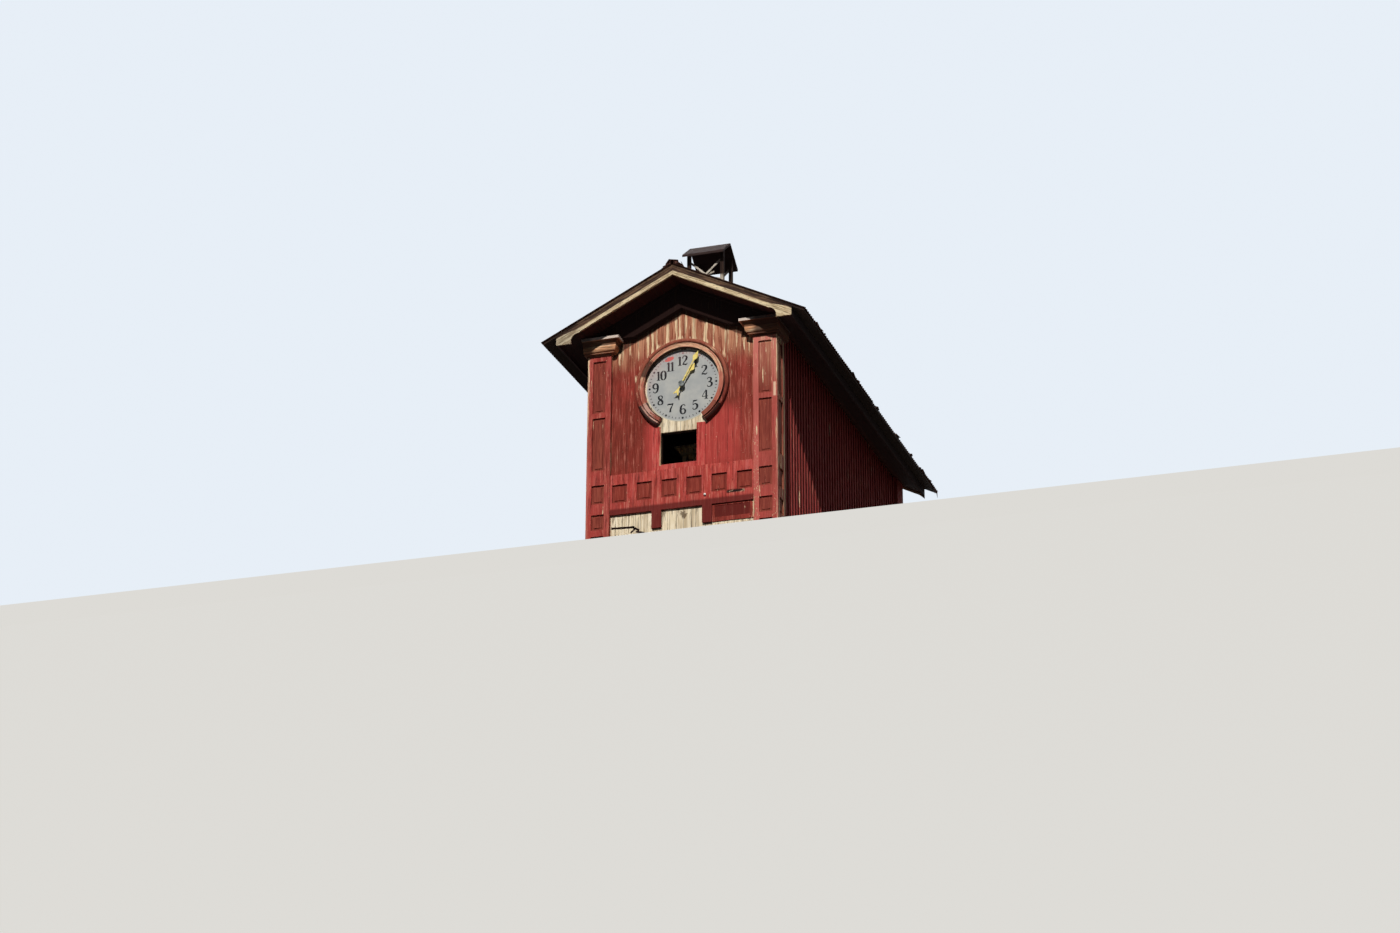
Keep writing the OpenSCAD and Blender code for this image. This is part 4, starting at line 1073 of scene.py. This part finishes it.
def knob():
    """White knob on the lower rail of the frieze, with a flat face and a spread foot."""
    bpy.ops.object.select_all(action="DESELECT")
    bpy.ops.mesh.primitive_uv_sphere_add(segments=20, ring_count=12, radius=0.017,
                                         location=(0.329, FRONT + 0.014, 1.371))
    ball = settle()
    pick(ball, "FACE", lambda p, normal: normal.y < -0.75)
    bpy.ops.mesh.inset(thickness=0.002, depth=-0.0015)
    mode("OBJECT")
    pick(ball, "FACE", lambda p, normal: normal.y > 0.8)
    bpy.ops.mesh.extrude_region_move(TRANSFORM_OT_translate={"value": (0, 0.004, 0)})
    bpy.ops.transform.resize(value=(1.25, 1, 1.25))
    mode("OBJECT")
    ball.name = "frieze_knob"
    bpy.ops.object.shade_smooth()
    return dress(ball, "knob")


def cote_scraps():
    """Pale scraps of board at the foot of the cote's right front post and between its braces."""
    face = COTE_Y - 0.170
    scraps = planks("cote_scraps", (
        (0.110, -0.006, 0.006, 0.016, 14, 0, (0.110, face - 0.004, 5.020)),
        (0.060, -0.005, 0.005, 0.012, -18, 0, (0.060, face - 0.006, 5.100)),
    ), 0.002)
    return dress(scraps, "brace")


front_boarding()
for side in (-1, 1):
    side_boarding(side)
rear_boarding()
window_lining()
barge_strips()
dial_numbers()
dial_marks()
cap_shreds()
sheet_curls()
broken_edge()
panel_frame()
knob()
cote_scraps()


# Stage, light and camera


def stage_colour(name, seen, real):
    """Pale to the camera and in reflections, darker for the light that it sends back."""
    mix = Mixture(name)
    return mix.finish(mix.blend(mix.plain_view(), real, seen), 0.9)


def backdrop_glow():
    """Sides of the floor slab: pale to the camera and in reflections, no light else."""
    mix = Mixture("stage backdrop")
    mix.feed(mix.shader, {"Emission Strength": 1.0,
                          "Emission Color": mix.blend(mix.plain_view(), BLACK, "dcdad5")})
    return mix.finish(BLACK, 1.0)


def stage():
    """The floor, which ends in front of the tower where the camera looks up over its edge."""
    floor = block((-25, -5.50, -0.30), (25, 25, 0))
    floor.name = "stage_floor"
    floor.data.materials.append(stage_colour("stage floor", "e6e4df", "3f3d39"))
    floor.data.materials.append(backdrop_glow())
    for face in floor.data.polygons:
        face.material_index = 0 if face.normal.z > 0.5 else 1


def sky():
    """Pale behind the tower, and a weak cool light on it."""
    world = bpy.data.worlds.new("studio")
    bpy.context.scene.world = world
    world.use_nodes = True
    nodes = Nodes(world.node_tree)
    light, seen = [nodes.add("Background", sockets={"Color": colour, "Strength": strength})
                   for colour, strength in (((0.86, 0.93, 1.0, 1), 0.07),
                                            ((0.80, 0.86, 0.93, 1), 1.0))]
    both = nodes.add("MixShader", sockets={0: nodes.plain_view(), 1: light, 2: seen})
    nodes.feed(world.node_tree.nodes["World Output"], {"Surface": both})


def sun(azimuth, height, strength, soft):
    """Lamp far off: azimuth to the right of the front's own direction, height over the floor."""
    a, e = math.radians(azimuth), math.radians(height)
    to_lamp = Vector((math.sin(a) * math.cos(e), -math.cos(a) * math.cos(e), math.sin(e)))
    bpy.ops.object.light_add(type="SUN", location=to_lamp * 30)
    lamp = bpy.context.object
    lamp.rotation_euler = to_lamp.to_track_quat("Z", "Y").to_euler()
    lamp.data.energy = strength
    lamp.data.angle = math.radians(soft)
    lamp.data.color = (1.0, 0.965, 0.91)


def camera():
    """Low camera, to the right of the tower and far below it."""
    yaw, pitch, roll = [math.radians(turn) for turn in (18.376, 21.517, 0.156)]
    level = Vector((-math.sin(yaw), math.cos(yaw), 0))
    right = Vector((math.cos(yaw), math.sin(yaw), 0))
    ahead = level * math.cos(pitch) + Vector((0, 0, math.sin(pitch)))
    up = Vector((0, 0, math.cos(pitch))) - level * math.sin(pitch)
    across = right * math.cos(roll) + up * math.sin(roll)
    upward = up * math.cos(roll) - right * math.sin(roll)
    bpy.ops.object.camera_add(location=(12.225, -39.1525, -13.187))
    view = bpy.context.object
    view.rotation_euler = Matrix((across, upward, -ahead)).transposed().to_euler()
    view.data.sensor_width = SENSOR
    view.data.lens = SENSOR * FOCAL / PHOTO_W
    view.data.clip_end = 500
    bpy.context.scene.camera = view


stage()
sky()
sun(7.0, 34.5, 3.5, 1.0)
sun(205.0, 38.0, 0.6, 14.0)
camera()
bpy.context.scene.view_settings.view_transform = "Standard"
